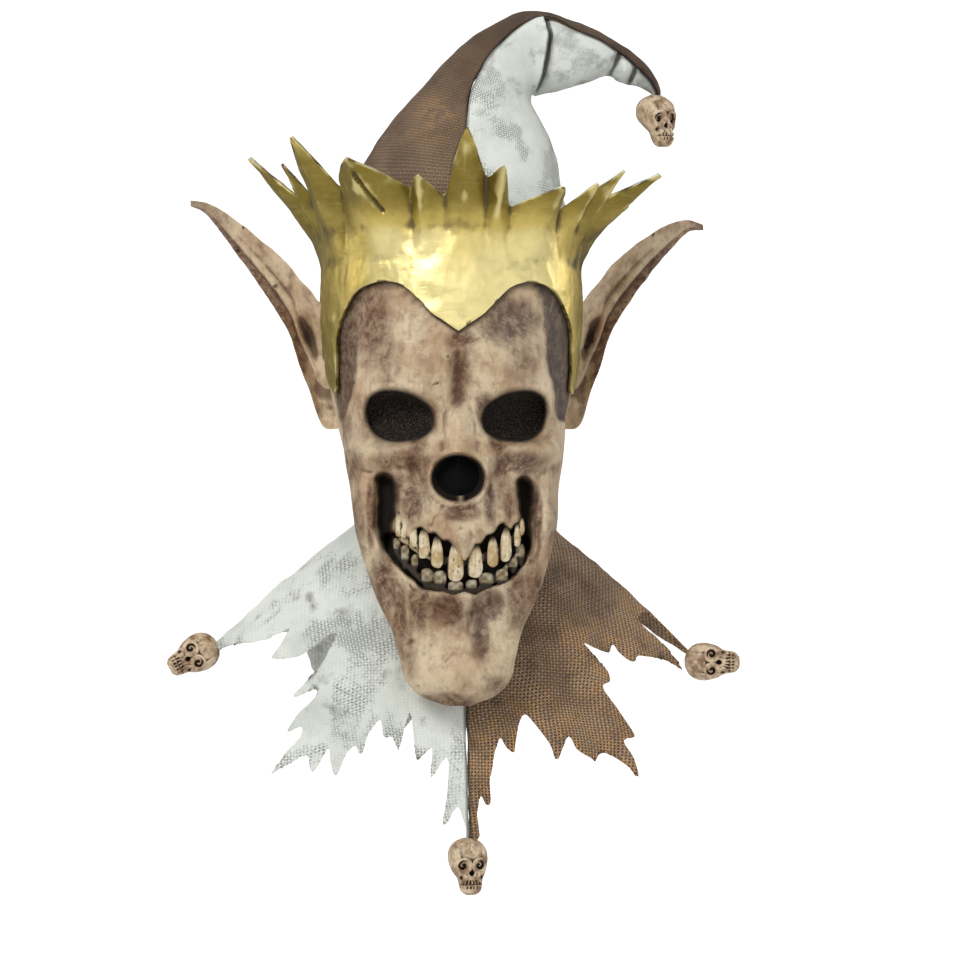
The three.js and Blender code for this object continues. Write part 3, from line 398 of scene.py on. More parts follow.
def build_wash(made, given):
    ragged = made.noise(given["Place"], given["Scale"], 6.0, 0.7)
    shifted = made.math("MULTIPLY_ADD", made.math("SUBTRACT", ragged, 0.5), given["Ragged"], given["Hollow"])
    return {"Mask": made.ramp(shifted, given["From"], given["To"])}


WASH = effect("wash_in_hollows", (("Place", "Vector", None), ("Hollow", "Float", 0.0),
                                  ("Scale", "Float", 90.0), ("Ragged", "Float", 1.2),
                                  ("From", "Float", 0.05), ("To", "Float", 0.6)),
              ("Mask",), build_wash)


def build_weave(made, given):
    split = made.add("ShaderNodeSeparateXYZ", None, Vector=given["Threads"]).outputs
    warp = made.math("SINE", made.math("MULTIPLY", split[0], math.pi))
    weft = made.math("SINE", made.math("MULTIPLY", split[1], math.pi))
    over = made.math("MULTIPLY", warp, weft)
    cross = made.math("MAXIMUM", made.math("MULTIPLY", warp, warp), made.math("MULTIPLY", weft, weft))
    height = made.math("MULTIPLY_ADD", over, 0.35, cross)
    gaps = made.ramp(height, 0.85, 0.3)
    return {"Height": height, "Gaps": gaps}


WEAVE = effect("pressed_weave", (("Threads", "Vector", None),), ("Height", "Gaps"), build_weave)


def build_pits(made, given):
    cells = made.add("ShaderNodeTexVoronoi", {"feature": "F1"}, Vector=given["Place"], Scale=given["Scale"])
    size = made.math("MULTIPLY", made.noise(given["Place"], made.math("MULTIPLY", given["Scale"], 0.23)),
                     given["Size"])
    return {"Mask": made.ramp(made.math("SUBTRACT", cells.outputs["Distance"], size), 0.02, -0.06)}


PITS = effect("small_pits", (("Place", "Vector", None), ("Scale", "Float", 120.0), ("Size", "Float", 0.3)),
              ("Mask",), build_pits)
print("Effects:", PATCHES.name, WASH.name, WEAVE.name, PITS.name)


# %% A finish starts with a shader and ends with its bump
def srgb(red, green, blue):
    """A colour given as on a paint chart, from 0 to 255, as the shader wants it."""
    shares = np.array((red, green, blue)) / 255
    linear = np.where(shares <= 0.04045, shares / 12.92, ((shares + 0.055) / 1.055) ** 2.4)
    return (*linear.tolist(), 1.0)


def finish(name, build):
    """A material whose build function returns colour, roughness, metallic and height."""
    material = bpy.data.materials.new(name)
    material.use_nodes = True
    made = Tree(material.node_tree)
    shader = material.node_tree.nodes["Principled BSDF"]
    result = build(made, shader)
    for socket, value in result.items():
        if socket == "Height":
            height, distance, strength = value
            relief = made.add("ShaderNodeBump", None, Height=height, Distance=distance, Strength=strength)
            made.join(relief.outputs[0], shader.inputs["Normal"])
        else:
            made.join(value, shader.inputs[socket])
    return material


def group(made, tree, **inputs):
    """Places a node group and sets or joins its inputs."""
    return made.add("ShaderNodeGroup", {"node_tree": tree}, **inputs).outputs


# %% [markdown]
# ### Old bone
# The face and ears are warm cream latex. A brown wash was brushed on and wiped off, so it stays
# in the hollows and in soft cloudy patches, with reddish stains, fine brush streaks and a few
# dark pits. Everything is driven by the hollowness of the surface and by noise.

# %% The finish of old bone
BONE_LIGHT = srgb(214, 194, 162)
BONE_MIDDLE = srgb(172, 138, 104)
BONE_BROWN = srgb(104, 72, 48)
BONE_RED = srgb(84, 50, 36)
BONE_GREY = srgb(92, 80, 76)
BONE_DARK = srgb(18, 13, 10)


def build_bone(made, shader):
    place = made.place()
    hollow = made.attribute("hollow")
    deep = made.attribute("deep")
    brown = made.attribute("brown")
    cool = made.attribute("cool")
    bent = made.mix(0.012, place, made.add("ShaderNodeTexNoise", None, Vector=place, Scale=60.0).outputs[1])
    streaks = made.noise(made.stretched(place, (1, 1, 0.25)), 190.0, 6.0, 0.75)
    mottle = made.noise(bent, 150.0, 6.0, 0.75)
    clouds = group(made, PATCHES, Place=place, Scale=24.0, From=0.4, To=0.66)["Mask"]
    broken = group(made, PATCHES, Place=bent, Scale=80.0, From=0.48, To=0.64)["Mask"]
    fine = group(made, WASH, Place=place, Hollow=hollow, Scale=120.0, Ragged=0.7, From=0.0, To=0.55)["Mask"]
    broad = group(made, WASH, Place=place, Hollow=brown, Scale=60.0, Ragged=0.9, From=0.0, To=0.8)["Mask"]
    colour = made.mix(made.math("MULTIPLY", clouds, 0.75), BONE_LIGHT, BONE_MIDDLE)
    colour = made.mix(made.math("MULTIPLY", broken, 0.32), colour, BONE_BROWN)
    colour = made.mix(made.math("MULTIPLY", made.ramp(streaks, 0.48, 0.72), 0.4), colour, BONE_BROWN)
    worn_brown = made.mix(made.ramp(mottle, 0.42, 0.62), BONE_BROWN, BONE_RED)
    worn_brown = made.mix(cool, worn_brown, BONE_GREY)
    cover = made.math("MULTIPLY", broad, made.math("MULTIPLY_ADD", made.ramp(mottle, 0.34, 0.62), 0.38, 0.56))
    colour = made.mix(cover, colour, worn_brown)
    colour = made.mix(made.math("MULTIPLY", fine, 0.75), colour, BONE_RED)
    rare = group(made, PATCHES, Place=place, Scale=14.0, From=0.52, To=0.6)["Mask"]
    pits = group(made, PITS, Place=bent, Scale=75.0, Size=0.28)["Mask"]
    specks = group(made, PITS, Place=bent, Scale=260.0, Size=0.26)["Mask"]
    pits = made.math("MULTIPLY", pits, rare)
    specks = made.math("MULTIPLY", specks, made.math("MULTIPLY_ADD", broad, 0.6, 0.25))
    colour = made.mix(made.math("MULTIPLY", made.math("MAXIMUM", pits, specks), 0.8), colour, BONE_DARK)
    # Deep turns the colour black: on the head it is black paint in the mouth and cheek hollows, and painted
    # shade round the eyes, in the nose and under the crown's edge; on the ears it is the dark hollow near the
    # root.
    colour = made.mix(made.math("MULTIPLY", deep, 0.97), colour, BONE_DARK)
    height = made.math("MULTIPLY_ADD", mottle, 0.5, made.math("MULTIPLY", streaks, 0.4))
    height = made.math("MULTIPLY_ADD", made.noise(place, 45.0, 5.0, 0.6), 1.0, height)
    height = made.math("SUBTRACT", height, made.math("MULTIPLY", pits, 0.6))
    rough = made.math("MULTIPLY_ADD", deep, 0.4, made.math("MULTIPLY_ADD", broad, 0.1, 0.46))
    shader.inputs["Specular IOR Level"].default_value = 0.3
    shader.inputs["Subsurface Weight"].default_value = 0.04
    shader.inputs["Subsurface Radius"].default_value = (0.006, 0.004, 0.002)
    shader.inputs["Subsurface Scale"].default_value = 0.5
    return {"Base Color": colour, "Roughness": rough, "Height": (height, 0.0014, 0.75)}


BONE = finish("old_bone", build_bone)

# %% [markdown]
# ### Stained teeth and small skulls
# The teeth and the small skulls have the same paint with a warmer ground and a darker, glossier
# wash that fills each groove.

# %% The finishes of stained teeth and antique bone
TOOTH_LIGHT = srgb(224, 212, 182)
TOOTH_YELLOW = srgb(176, 146, 98)
TOOTH_DARK = srgb(22, 14, 9)
CHARM_LIGHT = srgb(220, 198, 166)
CHARM_BROWN = srgb(134, 104, 76)


def antique(light, middle, dark, size, wash_from, wash_to):
    """A finish with a light ground, a middle tone in patches and a dark wash in the hollows."""
    def build(made, shader):
        place = made.place()
        hollow = made.attribute("hollow")
        deep = made.attribute("deep")
        clouds = group(made, PATCHES, Place=place, Scale=size, From=0.38, To=0.66)["Mask"]
        wash = group(made, WASH, Place=place, Hollow=hollow, Scale=size * 2.5, Ragged=0.9,
                     From=wash_from, To=wash_to)["Mask"]
        soft = group(made, WASH, Place=place, Hollow=hollow, Scale=size * 1.3, Ragged=0.9,
                     From=wash_from - 0.45, To=wash_to)["Mask"]
        colour = made.mix(clouds, light, middle)
        colour = made.mix(made.math("MULTIPLY", soft, 0.75), colour, middle)
        colour = made.mix(wash, colour, dark)
        colour = made.mix(deep, colour, dark)
        height = made.noise(place, size * 3, 5.0, 0.6)
        shader.inputs["Specular IOR Level"].default_value = 0.35
        return {"Base Color": colour, "Roughness": made.math("MULTIPLY_ADD", deep, 0.4, 0.34),
                "Height": (height, 0.0006, 0.5)}
    return build


TOOTH = finish("stained_tooth", antique(TOOTH_LIGHT, TOOTH_YELLOW, TOOTH_DARK, 110.0, 0.0, 0.5))
CHARM_BONE = finish("antique_bone", antique(CHARM_LIGHT, CHARM_BROWN, TOOTH_DARK, 130.0, 0.05, 0.7))

# %% [markdown]
# ### Gold paint
# The crown is brushed with gold over a dark green-brown ground. The brush went round the head, so fine
# scratches and ripples run level, and the ground shows in the hollows. The spikes and the sides are darkened
# to olive as a painted reflection, and the inside of the lower part gets a painted shadow.
# Inside the spikes the gold stops and the colour of the hat begins.

# %% The finish of brushed gold paint
GOLD_LIGHT = srgb(244, 228, 160)
GOLD_MIDDLE = srgb(206, 182, 98)
GOLD_DARK_REFLECTION = srgb(134, 116, 46)
GOLD_DARK = srgb(58, 46, 20)
CANVAS_BROWN = srgb(176, 146, 116)
CANVAS_SHADE = srgb(128, 102, 80)
CANVAS_OLD = srgb(98, 78, 60)
CANVAS_DARK = srgb(36, 28, 24)
RUST = srgb(198, 154, 102)
CHALK = srgb(226, 230, 222)
CHALK_SHADE = srgb(186, 192, 184)
CHALK_MARK = srgb(70, 66, 62)


def build_gold(made, shader):
    place = made.place()
    hollow = made.attribute("hollow")
    inside = made.attribute("inside")
    white_side = made.attribute("white_side")
    brushed = made.noise(made.stretched(place, (1, 1, 5)), 55.0, 5.0, 0.65)
    fine = made.noise(made.stretched(place, (1, 1, 9)), 150.0, 4.0, 0.7)
    clouds = group(made, PATCHES, Place=place, Scale=14.0, From=0.4, To=0.66)["Mask"]
    wash = group(made, WASH, Place=place, Hollow=hollow, Scale=60.0, Ragged=0.6, From=0.15, To=0.9)["Mask"]
    edge = group(made, WASH, Place=place, Hollow=made.math("MULTIPLY", hollow, -1.0), Scale=60.0,
                 Ragged=0.4, From=0.15, To=0.8)["Mask"]
    # Tone is a painted reflection: the spikes and sides are darkened through the middle gold to olive.
    tone = group(made, WASH, Place=place, Hollow=made.attribute("tone"), Scale=26.0, Ragged=0.5,
                 From=0.0, To=1.0)["Mask"]
    colour = made.mix(made.math("MULTIPLY", clouds, 0.5), GOLD_LIGHT, GOLD_MIDDLE)
    colour = made.mix(made.ramp(tone, 0.0, 0.5), colour, GOLD_MIDDLE)
    colour = made.mix(made.ramp(tone, 0.45, 1.0), colour, GOLD_DARK_REFLECTION)
    colour = made.mix(made.math("MULTIPLY", made.ramp(brushed, 0.5, 0.7), 0.1), colour, GOLD_LIGHT)
    colour = made.mix(made.math("MULTIPLY", edge, 0.6), colour, GOLD_LIGHT)
    colour = made.mix(made.math("MULTIPLY", wash, 0.85), colour, GOLD_DARK)
    # Deep paints the slit dark, and paints the inside of the crown's lower part as painted shadow.
    colour = made.mix(made.math("MULTIPLY", made.attribute("deep"), 0.9), colour, GOLD_DARK)
    patchy = group(made, PATCHES, Place=place, Scale=70.0, From=0.4, To=0.62)["Mask"]
    brown = made.mix(patchy, CANVAS_DARK, CANVAS_BROWN)
    brown = made.mix(made.math("MULTIPLY", edge, 0.8), brown, CHALK_SHADE)
    chalk = made.mix(made.math("MULTIPLY", patchy, 0.5), CHALK, CHALK_SHADE)
    chalk = made.mix(made.math("MULTIPLY", wash, 0.7), chalk, CHALK_MARK)
    lining = made.mix(white_side, brown, chalk)
    colour = made.mix(inside, colour, lining)
    metal = made.math("MULTIPLY", made.math("SUBTRACT", 1.0, inside),
                      made.math("MULTIPLY_ADD", wash, -0.4, 0.7))
    rough = made.math("MULTIPLY_ADD", inside, 0.3, made.math("MULTIPLY_ADD", brushed, 0.15, 0.34))
    height = made.math("MULTIPLY_ADD", brushed, 1.0, made.math("MULTIPLY", fine, 0.4))
    return {"Base Color": colour, "Roughness": rough, "Metallic": metal, "Height": (height, 0.0006, 0.45)}


GOLD = finish("brushed_gold_paint", build_gold)

# %% [markdown]
# ### Pressed canvas
# Hat and collar were cast against canvas, so a plain weave is pressed into the latex. The white
# halves are chalky with dark paint left in some of the weave. The brown halves are dark in the
# weave and rubbed with rust and orange on top. Attributes count the threads: over the hat
# along its own grid, and over the collar level as seen from the front.

# %% The finishes of white and of brown canvas
def threads_of(made):
    """Thread numbers across and along a skin, from the attributes that count them."""
    counts = {"X": made.attribute("warp"), "Y": made.attribute("weft")}
    return made.add("ShaderNodeCombineXYZ", None, **counts).outputs[0]


def build_white_canvas(made, shader):
    place = made.place()
    hollow = made.attribute("hollow")
    weave = group(made, WEAVE, Threads=threads_of(made))
    shown = group(made, PATCHES, Place=place, Scale=22.0, From=0.46, To=0.56)["Mask"]
    worn = group(made, PATCHES, Place=place, Scale=90.0, From=0.36, To=0.52)["Mask"]
    left_dark = made.math("MAXIMUM", made.math("MULTIPLY", shown, worn), 0.12)
    marks = made.math("MULTIPLY", weave["Gaps"], left_dark)
    wash = group(made, WASH, Place=place, Hollow=hollow, Scale=80.0, Ragged=1.0, From=0.15, To=0.9)["Mask"]
    clouds = group(made, PATCHES, Place=place, Scale=18.0, From=0.4, To=0.7)["Mask"]
    colour = made.mix(made.math("MULTIPLY", clouds, 0.6), CHALK, CHALK_SHADE)
    colour = made.mix(made.math("MULTIPLY", marks, 0.75), colour, CHALK_MARK)
    colour = made.mix(made.math("MULTIPLY", wash, 0.8), colour, CHALK_MARK)
    # Deep darkens the seam, and on the hat's white half also the painted shade in its folds.
    colour = made.mix(made.attribute("deep"), colour, CANVAS_DARK)
    threads = made.math("MULTIPLY", weave["Height"], made.math("MAXIMUM", shown, 0.25))
    lumps = made.math("MULTIPLY", made.noise(place, 60.0, 5.0, 0.6), 1.2)
    height = made.math("MULTIPLY_ADD", threads, 0.6, lumps)
    return {"Base Color": colour, "Roughness": made.math("MULTIPLY_ADD", marks, 0.1, 0.62),
            "Height": (height, 0.0011, 0.75)}


def build_brown_canvas(made, shader):
    place = made.place()
    hollow = made.attribute("hollow")
    orange = made.attribute("orange")
    weave = group(made, WEAVE, Threads=threads_of(made))
    rubbed = group(made, PATCHES, Place=place, Scale=20.0, From=0.42, To=0.68)["Mask"]
    rubbed = made.math("MAXIMUM", rubbed, orange)
    broken = group(made, PATCHES, Place=place, Scale=120.0, From=0.4, To=0.6)["Mask"]
    wash = group(made, WASH, Place=place, Hollow=hollow, Scale=80.0, Ragged=1.0, From=0.1, To=0.9)["Mask"]
    on_top = made.math("SUBTRACT", 1.0, weave["Gaps"])
    top = made.math("MULTIPLY", made.math("MULTIPLY", on_top, rubbed), broken)
    colour = made.mix(group(made, PATCHES, Place=place, Scale=30.0, From=0.35, To=0.65)["Mask"],
                      CANVAS_BROWN, CANVAS_SHADE)
    pressed = made.attribute("pressed")
    colour = made.mix(pressed, CANVAS_OLD, colour)
    dark_gaps = made.math("MULTIPLY", weave["Gaps"], made.math("MULTIPLY", pressed, 0.85))
    colour = made.mix(dark_gaps, colour, CANVAS_DARK)
    colour = made.mix(made.math("MULTIPLY", top, made.math("MULTIPLY_ADD", orange, 0.55, 0.25)), colour, RUST)
    colour = made.mix(made.math("MULTIPLY", wash, 0.75), colour, CANVAS_DARK)
    colour = made.mix(made.attribute("deep"), colour, CANVAS_DARK)
    height = made.math("MULTIPLY_ADD", weave["Height"], 0.8, made.noise(place, 60.0))
    shader.inputs["Specular IOR Level"].default_value = 0.4
    return {"Base Color": colour, "Roughness": 0.62, "Height": (height, 0.0014, 0.9)}


WHITE_CANVAS = finish("white_canvas", build_white_canvas)
BROWN_CANVAS = finish("brown_canvas", build_brown_canvas)

# %% [markdown]
# ### Black mesh
# A stiff black gauze closes the eyes and nose from inside. Its cells are only about two
# millimetres wide, so they are left to a honeycomb of bump and a faint lighter line.

# %% The finish of black mesh
def build_mesh(made, shader):
    place = made.place()
    cells = made.add("ShaderNodeTexVoronoi", {"feature": "DISTANCE_TO_EDGE"}, Vector=place, Scale=480.0)
    wires = made.ramp(cells.outputs["Distance"], 0.18, 0.05)
    colour = made.mix(wires, srgb(12, 11, 10), srgb(62, 54, 47))
    # Deep darkens the mesh nearly to black. It is set on the nose's gauze, as painted shade deep in the nose.
    colour = made.mix(made.attribute("deep"), colour, srgb(4, 3, 3))
    shader.inputs["Specular IOR Level"].default_value = 0.15
    return {"Base Color": colour, "Roughness": 0.8, "Height": (wires, 0.0005, 0.6)}


MESH = finish("black_mesh", build_mesh)

# %% [markdown]
# ## The skull head
# The head is a hollow tube for the wearer's head with a long bony face joined to its front. Its
# sections are the construction model's, at many more heights. Brow, sockets, cheekbones, jaw and
# chin are hills and hollows of a relief over those sections, and finer lines are ridges along
# short paths. The two skins are joined, hollowed and pierced with boolean modifiers.

# %% Driving sizes and sections of the head
HEAD_WIDTH = 0.206
HEAD_DEPTH = 0.238
FACE_LENGTH = 0.348
RELIEF_DEPTH = 0.020
LATEX = 0.003
RIM_HEIGHT = 0.032
GAP = 0.0003
ROUNDNESS = 2.3
HALF_WIDTH = HEAD_WIDTH / 2
HALF_DEPTH = HEAD_DEPTH / 2

CRANIUM = columns(
    "down half front back",
    (-RIM_HEIGHT / FACE_LENGTH, 0.97, -0.9, 0.95),
    (0, 1, -0.95, 1.03),
    (0.13, 1, -0.97, 1.06),
    (0.26, 0.96, -0.95, 1.04),
    (0.36, 0.89, -0.86, 0.95),
    (0.45, 0.81, -0.7, 0.8),
    (0.52, 0.73, -0.54, 0.64),
    (0.563, 0.68, -0.455, 0.57),
)
FACE = columns(
    "down half front back wide",
    (0.02, 0.8, -0.93, -0.05, -0.3),
    (0.13, 0.86, -0.985, -0.05, -0.32),
    (0.24, 0.87, -1.03, -0.05, -0.36),
    (0.335, 0.875, -0.98, -0.05, -0.38),
    (0.43, 0.85, -1, -0.1, -0.42),
    (0.5, 0.81, -1.02, -0.17, -0.48),
    (0.53, 0.8, -1.02, -0.3, -0.55),
    (0.56, 0.79, -1.025, -0.49, -0.66),
    (0.6, 0.77, -1.03, -0.52, -0.7),
    (0.66, 0.715, -1.03, -0.56, -0.76),
    (0.745, 0.62, -1.02, -0.62, -0.8),
    (0.82, 0.5, -1.05, -0.67, -0.84),
    (0.88, 0.445, -1.1, -0.73, -0.9),
    (0.93, 0.4, -1.11, -0.79, -0.94),
    (0.965, 0.29, -1.06, -0.86, -0.96),
    (0.988, 0.1, -1, -0.93, -0.965),
)
FACE_TOP = FACE["down"][0]
FACE_BOTTOM = FACE["down"][-1]
NECK_HEIGHT = -CRANIUM["down"][-1] * FACE_LENGTH

# %% Hills and hollows of the face
# Each row: across in half widths, down in face lengths, its width and height in the same
# measures, and its lift as a share of the relief. Rows of the first table have a twin.
TWIN_FORMS = (
    ("brow dome", 0.3, 0.225, 0.36, 0.085, 0.26),
    ("brow ridge", 0.47, 0.287, 0.34, 0.03, 0.3),
    ("outer brow", 0.7, 0.3, 0.12, 0.07, 0.14),
    ("socket", 0.46, 0.338, 0.33, 0.08, -0.8),
    ("cheekbone", 0.6, 0.42, 0.28, 0.046, 0.58),
    ("cheekbone end", 0.8, 0.395, 0.14, 0.045, 0.22),
    ("below the socket", 0.32, 0.46, 0.11, 0.055, -0.34),
)
SINGLE_FORMS = (
    ("frown", -0.005, 0.25, 0.1, 0.11, -0.34),
    ("bridge", 0.01, 0.39, 0.15, 0.095, 0.5),
    ("bridge top", 0, 0.335, 0.09, 0.04, 0.14),
    ("nose surround", 0.005, 0.475, 0.3, 0.085, 0.35),
    ("upper jaw", 0.02, 0.57, 0.46, 0.09, 0.5),
    ("spike of the upper jaw", 0.04, 0.625, 0.08, 0.045, 0.2),
    ("lower jaw", 0, 0.745, 0.5, 0.05, 0.12),
    ("chin", -0.02, 0.905, 0.42, 0.09, 0.36),
    ("chin ridge", 0.05, 0.8, 0.06, 0.08, 0.2),
    ("left dip", -0.1, 0.775, 0.17, 0.055, -0.4),
    ("right dip", 0.22, 0.77, 0.18, 0.06, -0.44),
    ("lower right dip", 0.175, 0.83, 0.08, 0.07, -0.24),
    ("left branch", -0.72, 0.56, 0.1, 0.16, 0.26),
    ("right branch", 0.68, 0.56, 0.09, 0.16, 0.26),
)


def hills(x, z):
    """Height of the broad forms of the face over its sections, in metres."""
    across = x / HALF_WIDTH
    down = -z / FACE_LENGTH
    lift = 0
    for _, middle, level, wide, tall, share in TWIN_FORMS:
        lift = lift + share * bump(np.hypot((np.abs(across) - middle) / wide, (down - level) / tall))
    for _, middle, level, wide, tall, share in SINGLE_FORMS:
        lift = lift + share * bump(np.hypot((across - middle) / wide, (down - level) / tall))
    return lift * RELIEF_DEPTH


# %% [markdown]
# Five parts of the face lie back from it behind a clear edge: the two temples, the two cheek
# hollows and the gap of the mouth. Each is an outline of places, a depth, and how softly its
# edge falls, so its border can follow the real one closely.

# %% Parts of the face that lie back
LEFT_TEMPLE = ((-0.66, 0.03), (-0.74, 0.08), (-0.765, 0.13), (-0.755, 0.175), (-0.748, 0.21), (-0.772, 0.247),
               (-0.8, 0.285), (-0.822, 0.32), (-0.845, 0.347), (-0.885, 0.352), (-0.96, 0.34), (-1.08, 0.3),
               (-1.08, 0.03))
RIGHT_TEMPLE = ((0.6, 0.03), (0.66, 0.08), (0.675, 0.13), (0.68, 0.175), (0.694, 0.21), (0.716, 0.247),
                (0.743, 0.285), (0.76, 0.318), (0.79, 0.34), (0.84, 0.346), (0.95, 0.34), (1.08, 0.3),
                (1.08, 0.03))
LEFT_CHEEK = ((-0.625, 0.474), (-0.55, 0.464), (-0.475, 0.474), (-0.452, 0.5), (-0.455, 0.535),
              (-0.445, 0.565), (-0.47, 0.59), (-0.475, 0.62), (-0.52, 0.65), (-0.585, 0.64),
              (-0.615, 0.6), (-0.628, 0.55), (-0.63, 0.51))
RIGHT_CHEEK = ((0.435, 0.485), (0.485, 0.468), (0.55, 0.472), (0.59, 0.495), (0.598, 0.54), (0.59, 0.59),
               (0.57, 0.635), (0.53, 0.65), (0.49, 0.625), (0.475, 0.59), (0.465, 0.56), (0.44, 0.53))
MOUTH_GAP = ((-0.56, 0.61), (-0.5, 0.6), (-0.44, 0.59), (-0.4, 0.602), (-0.36, 0.606), (-0.32, 0.588),
             (-0.27, 0.582), (-0.225, 0.598), (-0.17, 0.598), (-0.12, 0.614), (-0.07, 0.616), (-0.02, 0.638),
             (0.035, 0.658), (0.075, 0.645), (0.11, 0.622), (0.16, 0.62), (0.21, 0.604), (0.26, 0.6),
             (0.31, 0.582), (0.355, 0.576), (0.4, 0.588), (0.44, 0.575), (0.49, 0.575), (0.545, 0.61),
             (0.535, 0.65), (0.49, 0.68), (0.43, 0.7), (0.36, 0.714), (0.28, 0.724), (0.19, 0.73),
             (0.12, 0.738), (0.05, 0.73), (-0.04, 0.738), (-0.12, 0.735), (-0.2, 0.733), (-0.27, 0.726),
             (-0.33, 0.708), (-0.39, 0.694), (-0.45, 0.68), (-0.51, 0.664), (-0.565, 0.637))
# Each row: an outline, its depth, and how far its fall reaches outside and inside, in metres.
LOW_PARTS = (
    (LEFT_TEMPLE, 0.016, 0.003, 0.007),
    (RIGHT_TEMPLE, 0.016, 0.003, 0.007),
    (LEFT_CHEEK, 0.020, 0.002, 0.006),
    (RIGHT_CHEEK, 0.020, 0.002, 0.006),
    (MOUTH_GAP, 0.013, 0.0006, 0.0024),
)
WOBBLES = ((0.0009, 150, 0.3), (0.00022, 530, 1.7))

# %% [markdown]
# The openings of the eyes are outlines of a few places, rounded by a closed curve through
# them, and that of the nose is an oval. How far a point of the face lies from such an outline
# gives the soft rim round the eyes and the thin raised lip round the nose.

# %% Outlines of the openings
EYE_WIDTH = 0.0525
EYE_HEIGHT = 0.0392
EYE_SPACING = 0.0912
NOSE_WIDTH = 0.0446
NOSE_HEIGHT = 0.040
EYE_DOWN = 0.336
NOSE_DOWN = 0.476
EYE_OUTLINE = ((0.46, 0.3), (0.37, 0.43), (0.22, 0.5), (-0.08, 0.46), (-0.3, 0.33), (-0.45, 0.16),
               (-0.5, -0.08), (-0.44, -0.32), (-0.25, -0.46), (0.04, -0.5), (0.22, -0.46),
               (0.39, -0.28), (0.48, 0.02))


def rounded(corners, steps=6):
    """A closed curve through a list of corners."""
    corners = np.array(corners)
    before = np.roll(corners, 1, 0)
    after = np.roll(corners, -1, 0)
    beyond = np.roll(corners, -2, 0)
    parts = []
    for share in np.arange(steps) / steps:
        parts.append(0.5 * (2 * corners + (after - before) * share
                            + (2 * before - 5 * corners + 4 * after - beyond) * share**2
                            + (3 * corners - before - 3 * after + beyond) * share**3))
    return np.stack(parts, 1).reshape(-1, 2)


def eye_outline(side, scale=1.0):
    corners = [(side * (EYE_SPACING / 2 + outward * EYE_WIDTH * scale),
                -EYE_DOWN * FACE_LENGTH + up * EYE_HEIGHT * scale) for outward, up in EYE_OUTLINE]
    return rounded(corners)


def nose_outline(scale=1.0, lifted=0.0):
    turns = np.linspace(0, 2 * math.pi, 49)[:-1]
    return np.stack((np.sin(turns) * NOSE_WIDTH / 2 * scale,
                     lifted - NOSE_DOWN * FACE_LENGTH + np.cos(turns) * NOSE_HEIGHT / 2 * scale), 1)


def distance_to(x, z, outline):
    """Distance of places from a closed outline, negative inside it."""
    nearest = np.full(np.shape(x), np.inf)
    inside = np.zeros(np.shape(x), bool)
    for (x0, z0), (x1, z1) in zip(outline, np.roll(outline, -1, 0)):
        along = np.array((x1 - x0, z1 - z0))
        share = np.clip(((x - x0) * along[0] + (z - z0) * along[1]) / (along @ along), 0, 1)
        nearest = np.minimum(nearest, np.hypot(x - x0 - share * along[0], z - z0 - share * along[1]))
        crossed = (z0 > z) != (z1 > z)
        slope = (x1 - x0) * (z - z0) / np.where(z1 == z0, 1e-12, z1 - z0) + x0
        inside ^= crossed & (x < slope)
    return np.where(inside, -nearest, nearest)


EYES = (eye_outline(-1), eye_outline(1))
NOSE = nose_outline()

# %% Teeth, whose roots also show as ridges on the jaws
UPPER_TEETH = columns(
    "across root tip wide",
    (-0.45, 0.556, 0.606, 0.047), (-0.405, 0.563, 0.611, 0.042), (-0.342, 0.582, 0.63, 0.05),
    (-0.26, 0.595, 0.655, 0.078), (-0.163, 0.613, 0.676, 0.078), (-0.02, 0.627, 0.706, 0.1),
    (0.132, 0.63, 0.698, 0.093), (0.26, 0.613, 0.674, 0.072), (0.365, 0.593, 0.662, 0.074),
    (0.45, 0.582, 0.63, 0.042), (0.489, 0.568, 0.605, 0.036),
)
LOWER_TEETH = columns(
    "across root tip wide",
    (-0.462, 0.648, 0.612, 0.047), (-0.404, 0.676, 0.628, 0.054), (-0.334, 0.687, 0.648, 0.045),
    (-0.233, 0.724, 0.68, 0.078), (-0.135, 0.728, 0.685, 0.078), (-0.023, 0.738, 0.708, 0.093),
    (0.093, 0.733, 0.705, 0.07), (0.21, 0.725, 0.69, 0.093), (0.334, 0.72, 0.682, 0.078),
    (0.419, 0.688, 0.656, 0.047), (0.482, 0.67, 0.625, 0.054),
)

